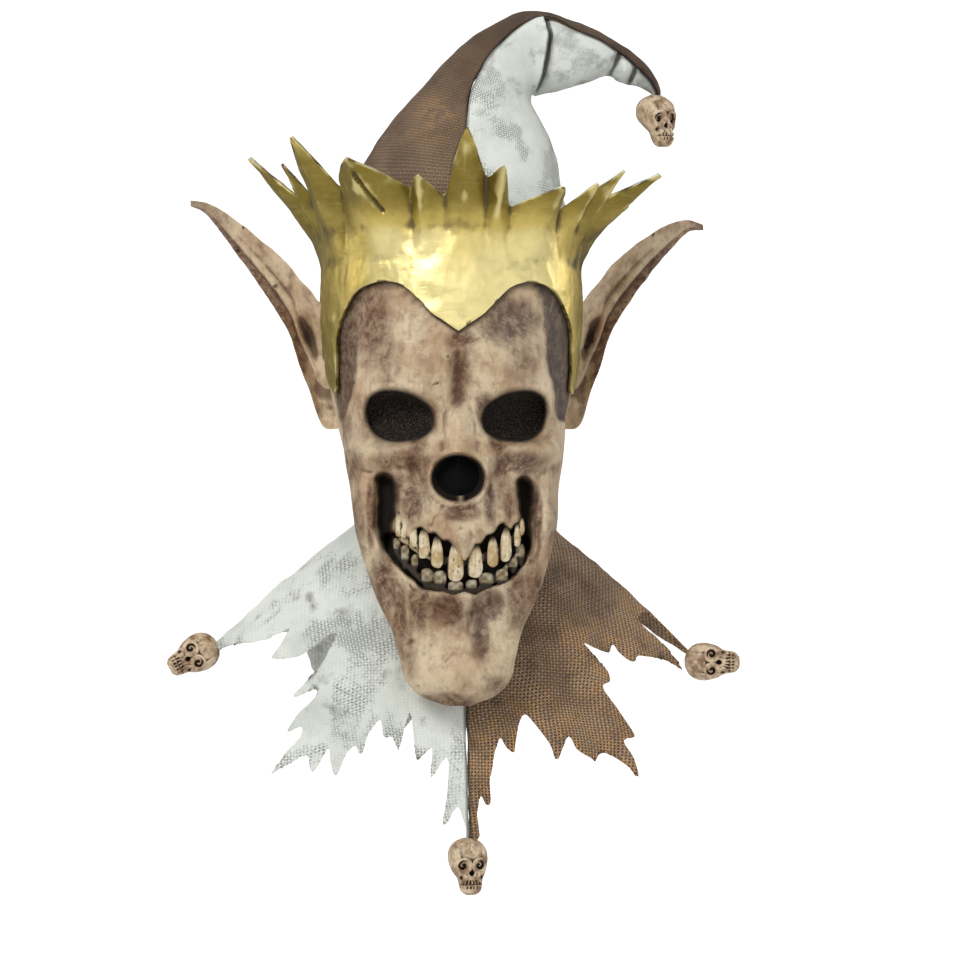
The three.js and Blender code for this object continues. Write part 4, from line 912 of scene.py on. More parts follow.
# %% Finer lines of the face
# Each row: a path of places (across, down), the width of the ridge in metres and its lift.
LINES = (
    (((-0.86, 0.395), (-0.72, 0.44), (-0.6, 0.455), (-0.5, 0.455), (-0.44, 0.475)), 0.0055, 0.0022),
    (((0.84, 0.39), (0.72, 0.445), (0.6, 0.462), (0.5, 0.458), (0.43, 0.472)), 0.0055, 0.0022),
    (((-0.75, 0.2), (-0.79, 0.27), (-0.84, 0.34)), 0.006, 0.0022),
    (((0.69, 0.2), (0.73, 0.27), (0.77, 0.335)), 0.006, 0.0022),
    (((-0.78, 0.47), (-0.76, 0.56), (-0.69, 0.65), (-0.58, 0.73)), 0.007, 0.0018),
    (((0.74, 0.47), (0.72, 0.56), (0.66, 0.65), (0.58, 0.73)), 0.007, 0.0018),
    (((-0.655, 0.49), (-0.655, 0.56), (-0.62, 0.64), (-0.56, 0.7)), 0.0035, 0.0014),
    (((0.615, 0.49), (0.62, 0.56), (0.59, 0.63), (0.56, 0.68)), 0.0035, 0.0014),
    (((0.03, 0.6), (0.04, 0.625), (0.04, 0.655)), 0.0045, 0.0022),
    (((-0.1, 0.53), (-0.16, 0.56), (-0.2, 0.59)), 0.004, -0.0011),
    (((0.235, 0.5), (0.24, 0.54), (0.25, 0.57)), 0.0045, -0.0018),
    (((-0.57, 0.69), (-0.5, 0.745), (-0.43, 0.8), (-0.365, 0.84)), 0.0055, -0.0026),
    (((-0.5, 0.7), (-0.42, 0.76), (-0.36, 0.81)), 0.005, 0.0013),
    (((-0.385, 0.69), (-0.34, 0.72), (-0.23, 0.75)), 0.0042, -0.0014),
    (((0.54, 0.64), (0.57, 0.68), (0.56, 0.71), (0.52, 0.76)), 0.0035, -0.0014),
    (((-0.19, 0.79), (-0.16, 0.82), (-0.2, 0.85)), 0.005, -0.0012),
    (((-0.36, 0.8), (-0.35, 0.84)), 0.004, -0.0014),
    (((0.1, 0.78), (0.115, 0.84), (0.15, 0.88), (0.18, 0.905)), 0.005, -0.0016),
    (((-0.05, 0.865), (-0.11, 0.888)), 0.0024, -0.001),
    (((0.01, 0.18), (-0.005, 0.22), (0.01, 0.27), (0.0, 0.305)), 0.012, -0.0014),
    (((0.0, 0.165), (0.08, 0.17), (0.15, 0.162)), 0.0022, -0.0007),
    (((-0.12, 0.31), (-0.15, 0.345), (-0.14, 0.385)), 0.0045, 0.001),
    (((0.13, 0.31), (0.17, 0.345), (0.15, 0.385)), 0.0045, 0.001),
    (((-0.68, 0.375), (-0.5, 0.405), (-0.33, 0.4)), 0.005, 0.001),
    (((0.68, 0.37), (0.5, 0.403), (0.33, 0.4)), 0.005, 0.001),
)
# Each row: two paths, how many streaks lie between them, the width of one and its lift.
STREAKS = (
    (((-0.57, 0.45), (-0.47, 0.472), (-0.432, 0.52), (-0.415, 0.575)),
     ((-0.42, 0.415), (-0.31, 0.465), (-0.25, 0.53), (-0.2, 0.575)), 7, 0.0022, 0.00075),
    (((0.55, 0.455), (0.44, 0.475), (0.415, 0.52), (0.42, 0.57)),
     ((0.42, 0.42), (0.33, 0.46), (0.29, 0.52), (0.26, 0.565)), 5, 0.0022, 0.0005),
    (((-0.8, 0.46), (-0.785, 0.55), (-0.71, 0.65), (-0.6, 0.72)),
     ((-0.66, 0.47), (-0.665, 0.55), (-0.63, 0.63), (-0.55, 0.7)), 5, 0.0026, 0.0006),
    (((0.77, 0.46), (0.745, 0.55), (0.7, 0.63), (0.62, 0.71)),
     ((0.62, 0.47), (0.63, 0.55), (0.6, 0.63), (0.56, 0.69)), 5, 0.0026, 0.0005),
    (((-0.6, 0.69), (-0.48, 0.77), (-0.38, 0.84)),
     ((-0.35, 0.7), (-0.27, 0.77), (-0.28, 0.86)), 6, 0.0028, 0.0007),
    (((-0.72, 0.385), (-0.5, 0.425), (-0.3, 0.425)),
     ((-0.78, 0.43), (-0.6, 0.45), (-0.42, 0.455)), 4, 0.0026, 0.0005),
)
EYE_SINK = 0.006
NOSE_LIP_HEIGHT = 0.002
NOSE_SINK = 0.013
SEPTUM = ((0.018, 0.54), (0.01, 0.498))
SEPTUM_LIFT = 0.009
ROOT_LIFT = 0.0017


def on_face(path):
    """The places of a path in metres across and up."""
    return [(across * HALF_WIDTH, -down * FACE_LENGTH) for across, down in path]


def face_lines():
    """All ridges: the lines, the streaks between two paths, and the roots of the teeth."""
    lines = [(on_face(path), width, lift) for path, width, lift in LINES]
    for first, second, count, width, lift in STREAKS:
        for share in np.linspace(0, 1, count):
            path = (1 - share) * np.array(on_face(first)) + share * np.array(on_face(second))
            lines.append(([tuple(place) for place in path], width, lift))
    for table, above, length in ((UPPER_TEETH, 1, 0.014), (LOWER_TEETH, -1, 0.010)):
        for across, root in zip(table["across"], table["root"]):
            x, z = across * HALF_WIDTH, -root * FACE_LENGTH
            lines.append((((x, z), (x * 0.95, z + above * length)), 0.0042, ROOT_LIFT))
    return lines


FACE_LINES = face_lines()
LOW_OUTLINES = [(rounded(on_face(outline), 4), depth, outside, inside)
                for outline, depth, outside, inside in LOW_PARTS]


def wobbled(x, z):
    """The places shifted a little to and fro, so that drawn lines lose their evenness."""
    for reach, pace, start in WOBBLES:
        x, z = x + reach * np.sin(pace * z + start), z + reach * np.sin(pace * x + 2 * start)
    return x, z


def face_relief(x, z, fine=True):
    """All the relief of the face: hills, low parts, finer lines and the rims of the openings."""
    lift = hills(x, z)
    loose_x, loose_z = wobbled(x, z)
    for outline, depth, outside, inside in LOW_OUTLINES:
        lift = lift - depth * step(outside, -inside, distance_to(loose_x, loose_z, outline))
    for outline in EYES:
        lift = lift - EYE_SINK * step(0.0042, -0.001, distance_to(x, z, outline))
    from_nose = distance_to(x, z, NOSE)
    lower_half = step(-NOSE_DOWN * FACE_LENGTH + 0.012, -NOSE_DOWN * FACE_LENGTH - 0.006, z)
    lift = lift + NOSE_LIP_HEIGHT * bump((from_nose - 0.0012) / 0.003) * (0.3 + 0.7 * lower_half)
    lift = lift - NOSE_SINK * step(0.0006, -0.0032, from_nose)
    in_nose = step(0.0006, -0.0032, from_nose)
    lift = lift + SEPTUM_LIFT * in_nose * ridge(x, z, on_face(SEPTUM), 0.0055)
    if fine:
        for path, width, height in FACE_LINES:
            lift = lift + height * ridge(loose_x, loose_z, path, width)
    return lift


# %% Places on the head's sections
def section_place(half, wide, front, back, turn):
    """Place on a rounded section. Turn 0 is its front and a quarter turn its +X side."""
    across = np.sign(np.sin(turn)) * np.abs(np.sin(turn)) ** (2 / ROUNDNESS)
    along = np.abs(np.cos(turn)) ** (2 / ROUNDNESS)
    end = np.where(np.cos(turn) > 0, front, back)
    return half * across, wide + along * (end - wide)


def cranium_section(z, out=0.0):
    down = -z / FACE_LENGTH
    return (between(CRANIUM, "half", down) * HALF_WIDTH + out,
            between(CRANIUM, "front", down) * HALF_DEPTH - out,
            between(CRANIUM, "back", down) * HALF_DEPTH + out)


def cranium_place(out, past):
    def place(u, v):
        z = RIM_HEIGHT + past + v * (NECK_HEIGHT - RIM_HEIGHT - 2 * past)
        half, front, back = cranium_section(np.clip(z, NECK_HEIGHT, RIM_HEIGHT), out)
        x, y = section_place(half, 0, front, back, u * 2 * math.pi)
        return np.stack((x, y, z), 1)
    return place


def face_section(z):
    down = -z / FACE_LENGTH
    return [between(FACE, column, down) * scale for column, scale in
            (("half", HALF_WIDTH), ("wide", HALF_DEPTH), ("front", HALF_DEPTH), ("back", HALF_DEPTH))]


def face_turn(u, front_share):
    """Turns round a face section, close together in front and few behind."""
    ahead = np.clip(u / front_share, 0, 1) * 2 - 1
    across = 0.5 * ahead + 0.5 * np.sin(ahead * math.pi / 2)
    front = np.arcsin(np.sign(across) * np.abs(across) ** (ROUNDNESS / 2))
    back = math.pi / 2 + (u - front_share) / (1 - front_share) * math.pi
    return np.where(u <= front_share, front, back)


def face_place(relief, front_share, top, bottom, inward=0.0):
    def place(u, v):
        z = -(top + v * (bottom - top)) * FACE_LENGTH
        half, wide, front, back = face_section(z)
        turn = face_turn(u, front_share)
        x, y = section_place(half - inward, wide, front + inward, back - inward, turn)
        ahead = np.clip(2 * np.cos(turn), 0, 1)
        return np.stack((x, y - relief(x, z) * ahead, z), 1)
    return place


def jaw_depth(x, z):
    """Y of the broad forms of the face at a place on it, which carry the teeth."""
    half, wide, front, _ = face_section(z)
    share = np.clip(np.abs(x) / half, 0, 1)
    along = (1 - share**ROUNDNESS) ** (1 / ROUNDNESS)
    return wide + along * (front - wide) - hills(x, z) * np.clip(2 * along, 0, 1)


# %% [markdown]
# The inner side is the same face, drawn back by the thickness of the latex. Where the relief is
# steep the wall would grow thin, so the inner side takes the lowest relief in its surroundings.

# %% Model the head
INNER_REACH = 0.004
REACH_STEPS = ((0, 0), (1, 0), (-1, 0), (0, 1), (0, -1), (0.7, 0.7), (0.7, -0.7), (-0.7, 0.7), (-0.7, -0.7))
HOLLOW_STOP = 0.03
PAST = 0.010


def lowest_relief(x, z):
    """The lowest relief within reach of each place, without the finer lines."""
    return np.min([face_relief(x + dx * INNER_REACH, z + dz * INNER_REACH, False)
                   for dx, dz in REACH_STEPS], 0)


def column(name, outline, front, back):
    """A closed column along Y inside an outline."""
    def place(u, v):
        index = np.minimum(np.round(u * len(outline)).astype(int), len(outline)) % len(outline)
        return np.stack((outline[index, 0], front + v * (back - front), outline[index, 1]), 1)
    return skin(name, place, len(outline), 1, closed=True, capped=True)


head = skin("skull_head_surface", face_place(face_relief, 0.88, FACE_TOP, FACE_BOTTOM), 250, 280,
            closed=True, capped=True)
join_or_cut(head, skin("cranium", cranium_place(0, 0), 96, 40, True, True), "UNION")
hollow = skin("face_hollow", face_place(lowest_relief, 0.8, FACE_TOP + HOLLOW_STOP, FACE_BOTTOM - HOLLOW_STOP,
                                        LATEX), 72, 76, True, True)
join_or_cut(hollow, skin("head_hollow", cranium_place(-LATEX, -PAST), 64, 24, True, True), "UNION")
join_or_cut(head, hollow, "DIFFERENCE")
for outline in (eye_outline(-1, 0.98), eye_outline(1, 0.98), nose_outline(0.78, 0.0016)):
    join_or_cut(head, column("hole", outline, -2 * HALF_DEPTH, -0.6 * HALF_DEPTH), "DIFFERENCE")
print("The head spans", [round(side, 3) for side in head.dimensions])

# %% Soften the crease where face and cranium meet
CREASE_SPREAD = 0.22


def soften_crease(piece):
    """Relaxes the sharp crease along the sides of the head."""
    places = points_of(piece)
    down = -places[:, 2] / FACE_LENGTH
    half, front, back = cranium_section(np.clip(places[:, 2], NECK_HEIGHT, RIM_HEIGHT))
    depth = np.where(places[:, 1] < 0, -front, back)
    on_cranium = (np.abs(places[:, 0]) / half) ** ROUNDNESS + (np.abs(places[:, 1]) / depth) ** ROUNDNESS
    face_half, wide, face_front, face_back = face_section(places[:, 2])
    face_depths = np.where(places[:, 1] < wide, wide - face_front, face_back - wide)
    on_front = (np.abs(places[:, 0]) / face_half) ** ROUNDNESS
    on_front = on_front + (np.abs(places[:, 1] - wide) / np.maximum(face_depths, 1e-3)) ** ROUNDNESS
    near = bump(np.hypot((on_cranium - 1) / CREASE_SPREAD, (on_front - 1) / CREASE_SPREAD))
    near = near * (down > FACE_TOP - 0.02) * (places[:, 1] > -0.1)
    weigh(piece, "crease", near)
    apply(piece, "SMOOTH", factor=0.5, iterations=30, vertex_group="crease")


soften_crease(head)

# %% Lower edge of the crown, under which the head gets a painted shadow
CROWN_EDGE = columns(
    "turn down",
    (0, 0.145), (10, 0.103), (20, 0.047), (30, 0.032), (42, 0.05), (50, 0.097), (56, 0.146),
    (62, 0.27), (74, 0.253), (82, 0.19), (88, 0.115), (96, 0.063), (120, 0.115), (150, 0.135),
    (180, 0.144),
)

# %% Paint marks of the head, and its painted shade
# Each row: across, down, width, height and how dark the brown is there. Patches along the sides of the face
# and jaw darken those sides.
BROWN_PATCHES = (
    (-0.66, 0.12, 0.26, 0.15, 0.75), (0.4, 0.12, 0.4, 0.09, 0.85), (0.02, 0.165, 0.2, 0.035, 0.8),
    (0.02, 0.25, 0.14, 0.12, 0.62), (0.2, 0.322, 0.13, 0.06, 0.75), (-0.19, 0.34, 0.08, 0.07, 0.6),
    (-0.4, 0.437, 0.4, 0.04, 0.75), (0.47, 0.44, 0.32, 0.045, 0.85), (-0.8, 0.45, 0.14, 0.08, 0.6),
    (0.03, 0.552, 0.22, 0.035, 0.85), (0.24, 0.53, 0.09, 0.08, 0.8), (-0.36, 0.53, 0.16, 0.09, 0.75),
    (0.38, 0.53, 0.12, 0.08, 0.6), (-0.08, 0.775, 0.2, 0.06, 1.0), (0.22, 0.76, 0.22, 0.06, 1.0),
    (0.17, 0.83, 0.12, 0.09, 0.9), (-0.3, 0.77, 0.18, 0.1, 0.75), (-0.44, 0.79, 0.1, 0.13, 0.85),
    (0.46, 0.75, 0.17, 0.13, 0.65), (-0.38, 0.88, 0.12, 0.1, 0.5), (-0.1, 0.98, 0.45, 0.04, 0.7),
    (0.3, 0.95, 0.2, 0.06, 0.6), (-0.66, 0.56, 0.06, 0.13, 0.95), (0.61, 0.56, 0.06, 0.13, 0.9),
    (-0.78, 0.6, 0.16, 0.16, 0.6), (0.76, 0.6, 0.14, 0.16, 0.5), (-0.55, 0.35, 0.46, 0.09, 0.5),
    (0.5, 0.35, 0.42, 0.09, 0.6), (-0.56, 0.72, 0.2, 0.15, 0.75),
    (0.58, 0.72, 0.16, 0.14, 0.6), (-0.45, 0.5, 0.12, 0.08, 0.6),
    (-0.33, 0.5, 0.22, 0.1, 0.5), (0.35, 0.5, 0.2, 0.1, 0.5), (0, 0.78, 0.5, 0.09, 0.45),
    (-0.55, 0.22, 0.22, 0.14, 0.4), (0.5, 0.2, 0.2, 0.14, 0.45), (-0.3, 0.4, 0.12, 0.05, 0.7),
    (0.3, 0.4, 0.12, 0.05, 0.75), (-0.86, 0.36, 0.12, 0.08, 0.5),
)
COOL_PATCHES = ((0.4, 0.13, 0.42, 0.12, 0.6), (0.6, 0.5, 0.25, 0.1, 0.4), (0.2, 0.79, 0.22, 0.11, 0.5),
                (0.25, 0.54, 0.08, 0.08, 0.7), (0.5, 0.44, 0.3, 0.04, 0.4))
CROWN_SHADOW_REACH = 0.005
SUNK_REACH = 0.014
SUNK_DEPTH = 0.006


def painted(across, down, patches):
    """How strongly each place is covered by a list of soft patches."""
    cover = np.zeros(len(across))
    for middle, level, wide, tall, strength in patches:
        cover = np.maximum(cover, strength * bump(np.hypot((across - middle) / wide, (down - level) / tall)))
    return cover


def head_marks(piece):
    """Where the head is black (paint in the mouth and cheek hollows, painted shade round the eyes, in the
    nose and under the crown), brown from wash and patches, or cool grey.
    """
    places = points_of(piece)
    x, z = places[:, 0], places[:, 2]
    across = x / HALF_WIDTH
    down = -z / FACE_LENGTH
    in_front = step(-0.02, -0.045, places[:, 1])
    loose_x, loose_z = wobbled(x, z)
    temple = np.maximum(*[step(0.002, -0.004, distance_to(loose_x, loose_z, part[0]))
                          for part in LOW_OUTLINES[:2]])
    deep = step(0.0004, -0.0024, distance_to(loose_x, loose_z, LOW_OUTLINES[4][0]))
    for part in LOW_OUTLINES[2:4]:
        deep = np.maximum(deep, step(0.0012, -0.0055, distance_to(loose_x, loose_z, part[0])))
    # Painted shade: the rim round each eye is darkened.
    for outline in EYES:
        deep = np.maximum(deep, step(0.0028, -0.0004, distance_to(x, z, outline)))
    # Painted shade: the inside of the nose is darkened, a little less on the septum.
    septum = ridge(x, z, on_face(SEPTUM), 0.004)
    deep = np.maximum(deep, step(-0.0002, -0.0026, distance_to(x, z, NOSE)) * (1 - 0.35 * septum))
    # Painted shadow: the head is darkened in a band just under the crown's lower edge.
    degrees = np.degrees(np.arctan2(x, -places[:, 1]))
    to_crown = -between(CROWN_EDGE, "down", np.abs(degrees), "turn") * FACE_LENGTH - z
    deep = np.maximum(deep, 0.85 * step(CROWN_SHADOW_REACH, 0.001, to_crown))
    steps = [(math.cos(turn) * SUNK_REACH, math.sin(turn) * SUNK_REACH)
             for turn in np.arange(6) * math.pi / 3]
    around = np.mean([face_relief(x + dx, z + dz, False) for dx, dz in steps], 0)
    sunk = np.clip((around - face_relief(x, z, False)) / SUNK_DEPTH, 0, 1)
    brown = np.minimum(1, np.maximum(0.9 * sunk, 1.2 * painted(across, down, BROWN_PATCHES)))
    mark(piece, "deep", np.maximum(deep, 0.42 * temple) * in_front)
    mark(piece, "brown", np.maximum(brown, 1.1 * temple) * in_front)
    mark(piece, "cool", np.maximum(painted(across, down, COOL_PATCHES), temple * (x > 0)) * in_front)
    mark(piece, "hollow", hollowness(piece, 14, 0.0013))


head_marks(head)
finish_piece(head, "bone_latex", BONE, "skull_head", angle=60)

# %% [markdown]
# ## Teeth
# Each tooth is a small ball stretched to its length, tapered to its tip and leaned forward, and
# a row of them is fused with a bar of gum, as in the casting. No two are alike, so each has a
# size of its own from the table above.

# %% Model the two rows of teeth
MOUTH_DOWN = 0.7
MOUTH_RISE = 0.12
MOUTH_HALF = 0.58
MOUTH_TALL = 0.05
TOOTH_THICKNESS = 0.006
TOOTH_FULLNESS = 1.28
GUM_RADIUS = 0.0034
GUM_SHARE = 0.7
UPPER_ROW_BACK = 0.35
LOWER_ROW_BACK = 0.75
GUM_BEHIND = 0.006
BALL_SIDES = 20
FUSING_SIZE = 0.0007


def gum_height(across, side):
    curl = across / MOUTH_HALF
    off_line = side * GUM_SHARE * MOUTH_TALL * np.sqrt(np.clip(1 - curl**2, 0, 1))
    return -(MOUTH_DOWN - MOUTH_RISE * curl**2 + off_line) * FACE_LENGTH


def tooth(x, y, root, tip, wide):
    """A stretched ball that is narrow at the root and broad and blunt at the biting end."""
    bpy.ops.object.select_all(action="DESELECT")
    bpy.ops.mesh.primitive_uv_sphere_add(segments=BALL_SIDES, ring_count=BALL_SIDES, radius=1)
    piece = bpy.context.object
    places = points_of(piece)
    level = np.clip(np.abs(places[:, 2]), 0, 1)
    blunt = (1 - level**4) ** 0.4 / np.maximum(np.sqrt(1 - level**2), 0.02)
    along = (places[:, 2] + 1) / 2
    plump = np.interp(along, (0, 0.3, 0.65, 1), (1.0, 1.05, 0.82, 0.56)) * np.where(level > 0.999, 0, blunt)
    lean = random.uniform(-0.0012, 0.0012)
    groove = 0.00025 * np.sin(places[:, 0] * 9 + lean * 4000)
    put_points(piece, np.stack((
        x + places[:, 0] * wide / 2 * plump + lean * (1 - along),
        y + places[:, 1] * TOOTH_THICKNESS / 2 * plump - 0.0016 * (1 - along) + groove,
        tip + (root - tip) * along,
    ), 1))
    return piece


def teeth_row(name, table, side, back):
    ends = (table["across"][0], table["across"][-1])

    def bar_place(u, v):
        across = ends[0] + v * (ends[1] - ends[0])
        x = across * HALF_WIDTH
        z = gum_height(across, side)
        y = jaw_depth(x, z) + GUM_BEHIND
        turn = u * 2 * math.pi
        return np.stack((x, y + np.cos(turn) * GUM_RADIUS, z + np.sin(turn) * GUM_RADIUS), 1)

    row = skin(name, bar_place, 16, 60, closed=True, capped=True)
    for index in range(len(table["across"])):
        across = table["across"][index]
        x = across * HALF_WIDTH
        gum = gum_height(across, side)
        y = float(jaw_depth(x, gum)) + back * TOOTH_THICKNESS
        root = -table["root"][index] * FACE_LENGTH
        tip = -table["tip"][index] * FACE_LENGTH
        overshoot = 0.12 * (root - tip)
        wide = table["wide"][index] * HALF_WIDTH * TOOTH_FULLNESS
        piece = tooth(x, y, root + overshoot, tip - overshoot * 0.3, wide)
        join_or_cut(row, piece, "UNION")
    apply(row, "REMESH", mode="VOXEL", voxel_size=FUSING_SIZE)
    apply(row, "SMOOTH", factor=0.5, iterations=2)
    rumple(row, 0.004, 0.0008)
    return row


def teeth_marks(row, table, worn):
    """Teeth are brown to black at the root, and the gum and the gaps are black."""
    places = points_of(row)
    nearest = np.argmin(np.abs(places[:, :1] / HALF_WIDTH - table["across"][None, :]), 1)
    down = -places[:, 2] / FACE_LENGTH
    share = (down - table["root"][nearest]) / (table["tip"][nearest] - table["root"][nearest])
    beside = np.abs(places[:, 0] / HALF_WIDTH - table["across"][nearest]) / (table["wide"][nearest] / 2)
    behind = places[:, 1] - jaw_depth(places[:, 0], places[:, 2])
    dark = np.maximum(step(0.22 + worn, -0.08 + worn, share), step(0.0035, 0.006, behind))
    blotch = 0.5 + 0.5 * np.sin(places[:, 0] * 700) * np.sin(places[:, 2] * 900 + 1)
    dark = np.maximum(dark, worn * (0.9 + 1.2 * blotch))
    mark(row, "deep", 0.95 * np.clip(np.maximum(dark, step(1.0, 1.3, beside)), 0, 1))
    mark(row, "hollow", hollowness(row, 14, 0.0005))


for name, table, side, back, node in (
    ("upper_tooth_row", UPPER_TEETH, -1, UPPER_ROW_BACK, "upper_teeth"),
    ("lower_tooth_row", LOWER_TEETH, 1, LOWER_ROW_BACK, "lower_teeth"),
):
    worn = 0.0 if side < 0 else 0.38
    teeth = teeth_row(name, table, side, back)
    teeth_marks(teeth, table, worn)
    finish_piece(teeth, "tooth_latex", TOOTH, node)

# %% [markdown]
# ## Mesh behind the openings
# Each opening has a stiff gauze glued in from behind, which follows the inside of the face. A
# grid a little larger than the opening is laid on the inside of the wall.

# %% Model the mesh panels
MESH_THICKNESS = 0.001
MESH_OUTLINE_SHARE = 1.2
EYE_MESH_BEHIND = 0.003


def panel(name, outline, node, behind, dark=False):
    middle = outline.mean(0)

    def place(u, v):
        turn = u * len(outline)
        index = np.minimum(np.round(turn).astype(int), len(outline)) % len(outline)
        rim = outline[index] - middle
        x = middle[0] + rim[:, 0] * v
        z = middle[1] + rim[:, 1] * v
        half, wide, front, _ = face_section(z)
        share = np.clip(np.abs(x) / (half - LATEX), 0, 1)
        along = (1 - share**ROUNDNESS) ** (1 / ROUNDNESS)
        y = wide + along * (front + LATEX - wide) - lowest_relief(x, z) * np.clip(2 * along, 0, 1)
        return np.stack((x, y + GAP + behind, z), 1)

    piece = skin(name, place, len(outline), 10, closed=True)
    edit(piece, (bpy.ops.mesh.normals_make_consistent, {"inside": False}))
    if sum(face.normal.y for face in piece.data.polygons) > 0:
        edit(piece, (bpy.ops.mesh.flip_normals, {}))
    apply(piece, "SOLIDIFY", thickness=MESH_THICKNESS, offset=-1)
    mark(piece, "deep", np.full(len(piece.data.vertices), float(dark)))
    finish_piece(piece, "black_mesh", MESH, node)


panel("left_eye_gauze", eye_outline(-1, MESH_OUTLINE_SHARE), "eye_mesh_left", EYE_MESH_BEHIND)
panel("right_eye_gauze", eye_outline(1, MESH_OUTLINE_SHARE), "eye_mesh_right", EYE_MESH_BEHIND)
# The nose's gauze is painted nearly black, as painted shade inside the nose.
panel("nose_gauze", nose_outline(0.96), "nose_mesh", 0.0005, dark=True)

# %% [markdown]
# ## The gold crown
# A cowl of latex round the head, with a double arch over the brow and long points down the
# temples. Its upper edge is torn into leaf-like spikes that bend outwards. A skin round the
# head follows the tables of spikes and of the lower edge, and Solidify makes it a wall.

# %% Spikes and lower edge of the crown
CROWN_TOP = 0.111
CROWN_REACH = 0.168
CROWN_FLARE_START = 0.005
CROWN_LATEX = 0.003
CROWN_BEND = 1.3
SPIKES = columns(
    "turn top reach",
    (-187, 0.72, 0.92), (-172, 0.45, 0.7), (-158, 0.7, 0.9), (-142, 0.46, 0.7), (-124, 0.72, 0.9),
    (-110, 0.48, 0.7), (-98, 0.89, 0.98), (-89, 0.52, 0.7), (-80, 0.82, 0.82), (-75, 0.54, 0.69),
    (-60, 0.96, 0.88), (-50, 0.565, 0.69), (-33, 0.745, 0.945), (-18, 0.545, 0.69),
    (-14, 0.634, 0.786), (-5, 0.48, 0.685), (2, 1, 0.774), (11, 0.6, 0.69), (14, 0.72, 0.82),
    (20, 0.41, 0.68), (33, 0.56, 0.88), (44, 0.417, 0.68), (51, 0.62, 0.85), (55, 0.53, 0.75),
    (60, 0.735, 0.925), (66, 0.487, 0.69), (75, 0.717, 1.015), (92, 0.42, 0.69), (113, 0.567, 0.96),
    (128, 0.44, 0.69), (142, 0.64, 0.9), (158, 0.44, 0.7), (173, 0.72, 0.92), (188, 0.45, 0.7),
)


def cranium_reach(turn, z):
    """Distance of the cranium's surface from its middle, at turns and heights."""
    half, front, back = cranium_section(np.clip(z, NECK_HEIGHT, RIM_HEIGHT))
    depth = np.where(np.cos(turn) > 0, -front, back)
    return ((np.abs(np.sin(turn)) / half) ** ROUNDNESS
            + (np.abs(np.cos(turn)) / depth) ** ROUNDNESS) ** (-1 / ROUNDNESS)


CROWN_KEEL = 0.0045
CROWN_ROUNDING = 0.9
SLIT = ((-0.083, 0.0705), (-0.0715, 0.057), (-0.0597, 0.0434))


def spike_value(column, degrees):
    """Value of a column of the spikes' table, with its corners rounded a little."""
    shifts = (-CROWN_ROUNDING, 0, CROWN_ROUNDING)
    return np.mean([straight(SPIKES, column, degrees + shift) for shift in shifts], 0)


def spike_middle(degrees):
    """1 along the middle of each spike and 0 in the notches, which alternate in the table."""
    count = np.interp(degrees, SPIKES["turn"], np.arange(len(SPIKES["turn"])))
    return np.abs(count % 2 - 1)


def crown_place(u, v):
    degrees = -180 + 360 * u
    turn = np.radians(degrees)
    bottom = -between(CROWN_EDGE, "down", np.abs(degrees), "turn") * FACE_LENGTH
    top = spike_value("top", degrees) * CROWN_TOP
    reach = spike_value("reach", degrees) * CROWN_REACH
    z = bottom + (1 - v) * (top - bottom)
    snug = cranium_reach(turn, z) + GAP + CROWN_LATEX + 0.003 * bump(np.abs(degrees) / 30)
    lean = np.clip((z - CROWN_FLARE_START) / (top - CROWN_FLARE_START), 0, 1) ** CROWN_BEND
    out = snug + lean * (reach - cranium_reach(turn, RIM_HEIGHT))
    out = out + CROWN_KEEL * (spike_middle(degrees) - 0.5) * step(0.02, 0.06, z)
    x, y = np.sin(turn) * out, -np.cos(turn) * out
    cut = ridge(x, z, SLIT, 0.0028) * (y < 0)
    return np.stack((x * (1 - 0.02 * cut), y + 0.003 * cut, z), 1)


# %% Model the crown
crown = skin("gold_crown", crown_place, 760, 44, closed=True)
edit(crown, (bpy.ops.mesh.normals_make_consistent, {"inside": False}))
outer_count = len(crown.data.vertices)
apply(crown, "SOLIDIFY", thickness=CROWN_LATEX, offset=-1)
mark(crown, "inside", np.arange(len(crown.data.vertices)) >= outer_count)
apply(crown, "BEVEL", width=0.001, segments=3, limit_method="ANGLE", angle_limit=math.radians(60))
rumple(crown, 0.025, 0.003)
rumple(crown, 0.008, 0.0008)


def crown_marks(piece):
    """Which half of the hat is behind each point, where the crown's slit is dark, and where painted shadow
    and a darker painted reflection lie on it.
    """
    places = points_of(piece)
    x, z = places[:, 0], places[:, 2]
    inside = np.empty(len(places), np.float32)
    piece.data.attributes["inside"].data.foreach_get("value", inside)
    mark(piece, "inside", inside * step(0.0, 0.02, z))
    mark(piece, "white_side", step(0.0, 0.02, x))
    # Deep: the slit is painted dark, and the inside of the lower part gets a painted shadow.
    slit = ridge(x, z, SLIT, 0.0011) * (places[:, 1] < 0) * step(0.043, 0.056, z)
    # Tone: the spikes and sides are darkened to olive as a painted reflection, and the spike tops a little
    # less.
    spikes = step(0.005, 0.06, z)
    sides = step(0.055, 0.1, np.abs(x - 0.008))
    mark(piece, "tone", np.clip(np.maximum(0.85 * spikes, 0.75 * sides) - 0.2 * step(0.075, 0.1, z), 0, 1))
    mark(piece, "deep", np.maximum(slit, inside * step(0.02, 0.0, z)))
    mark(piece, "hollow", hollowness(piece, 20, 0.0012))


crown_marks(crown)
finish_piece(crown, "gold_latex", GOLD, "crown")

# %% [markdown]
# ## The bent hat
# A long cone that bends over to one side, brown on its outer side and white on its inner side,
# with a dark seam between them. Each half is a skin over part of the hat's sections, from
# the crown to the thin tip that carries a small skull.

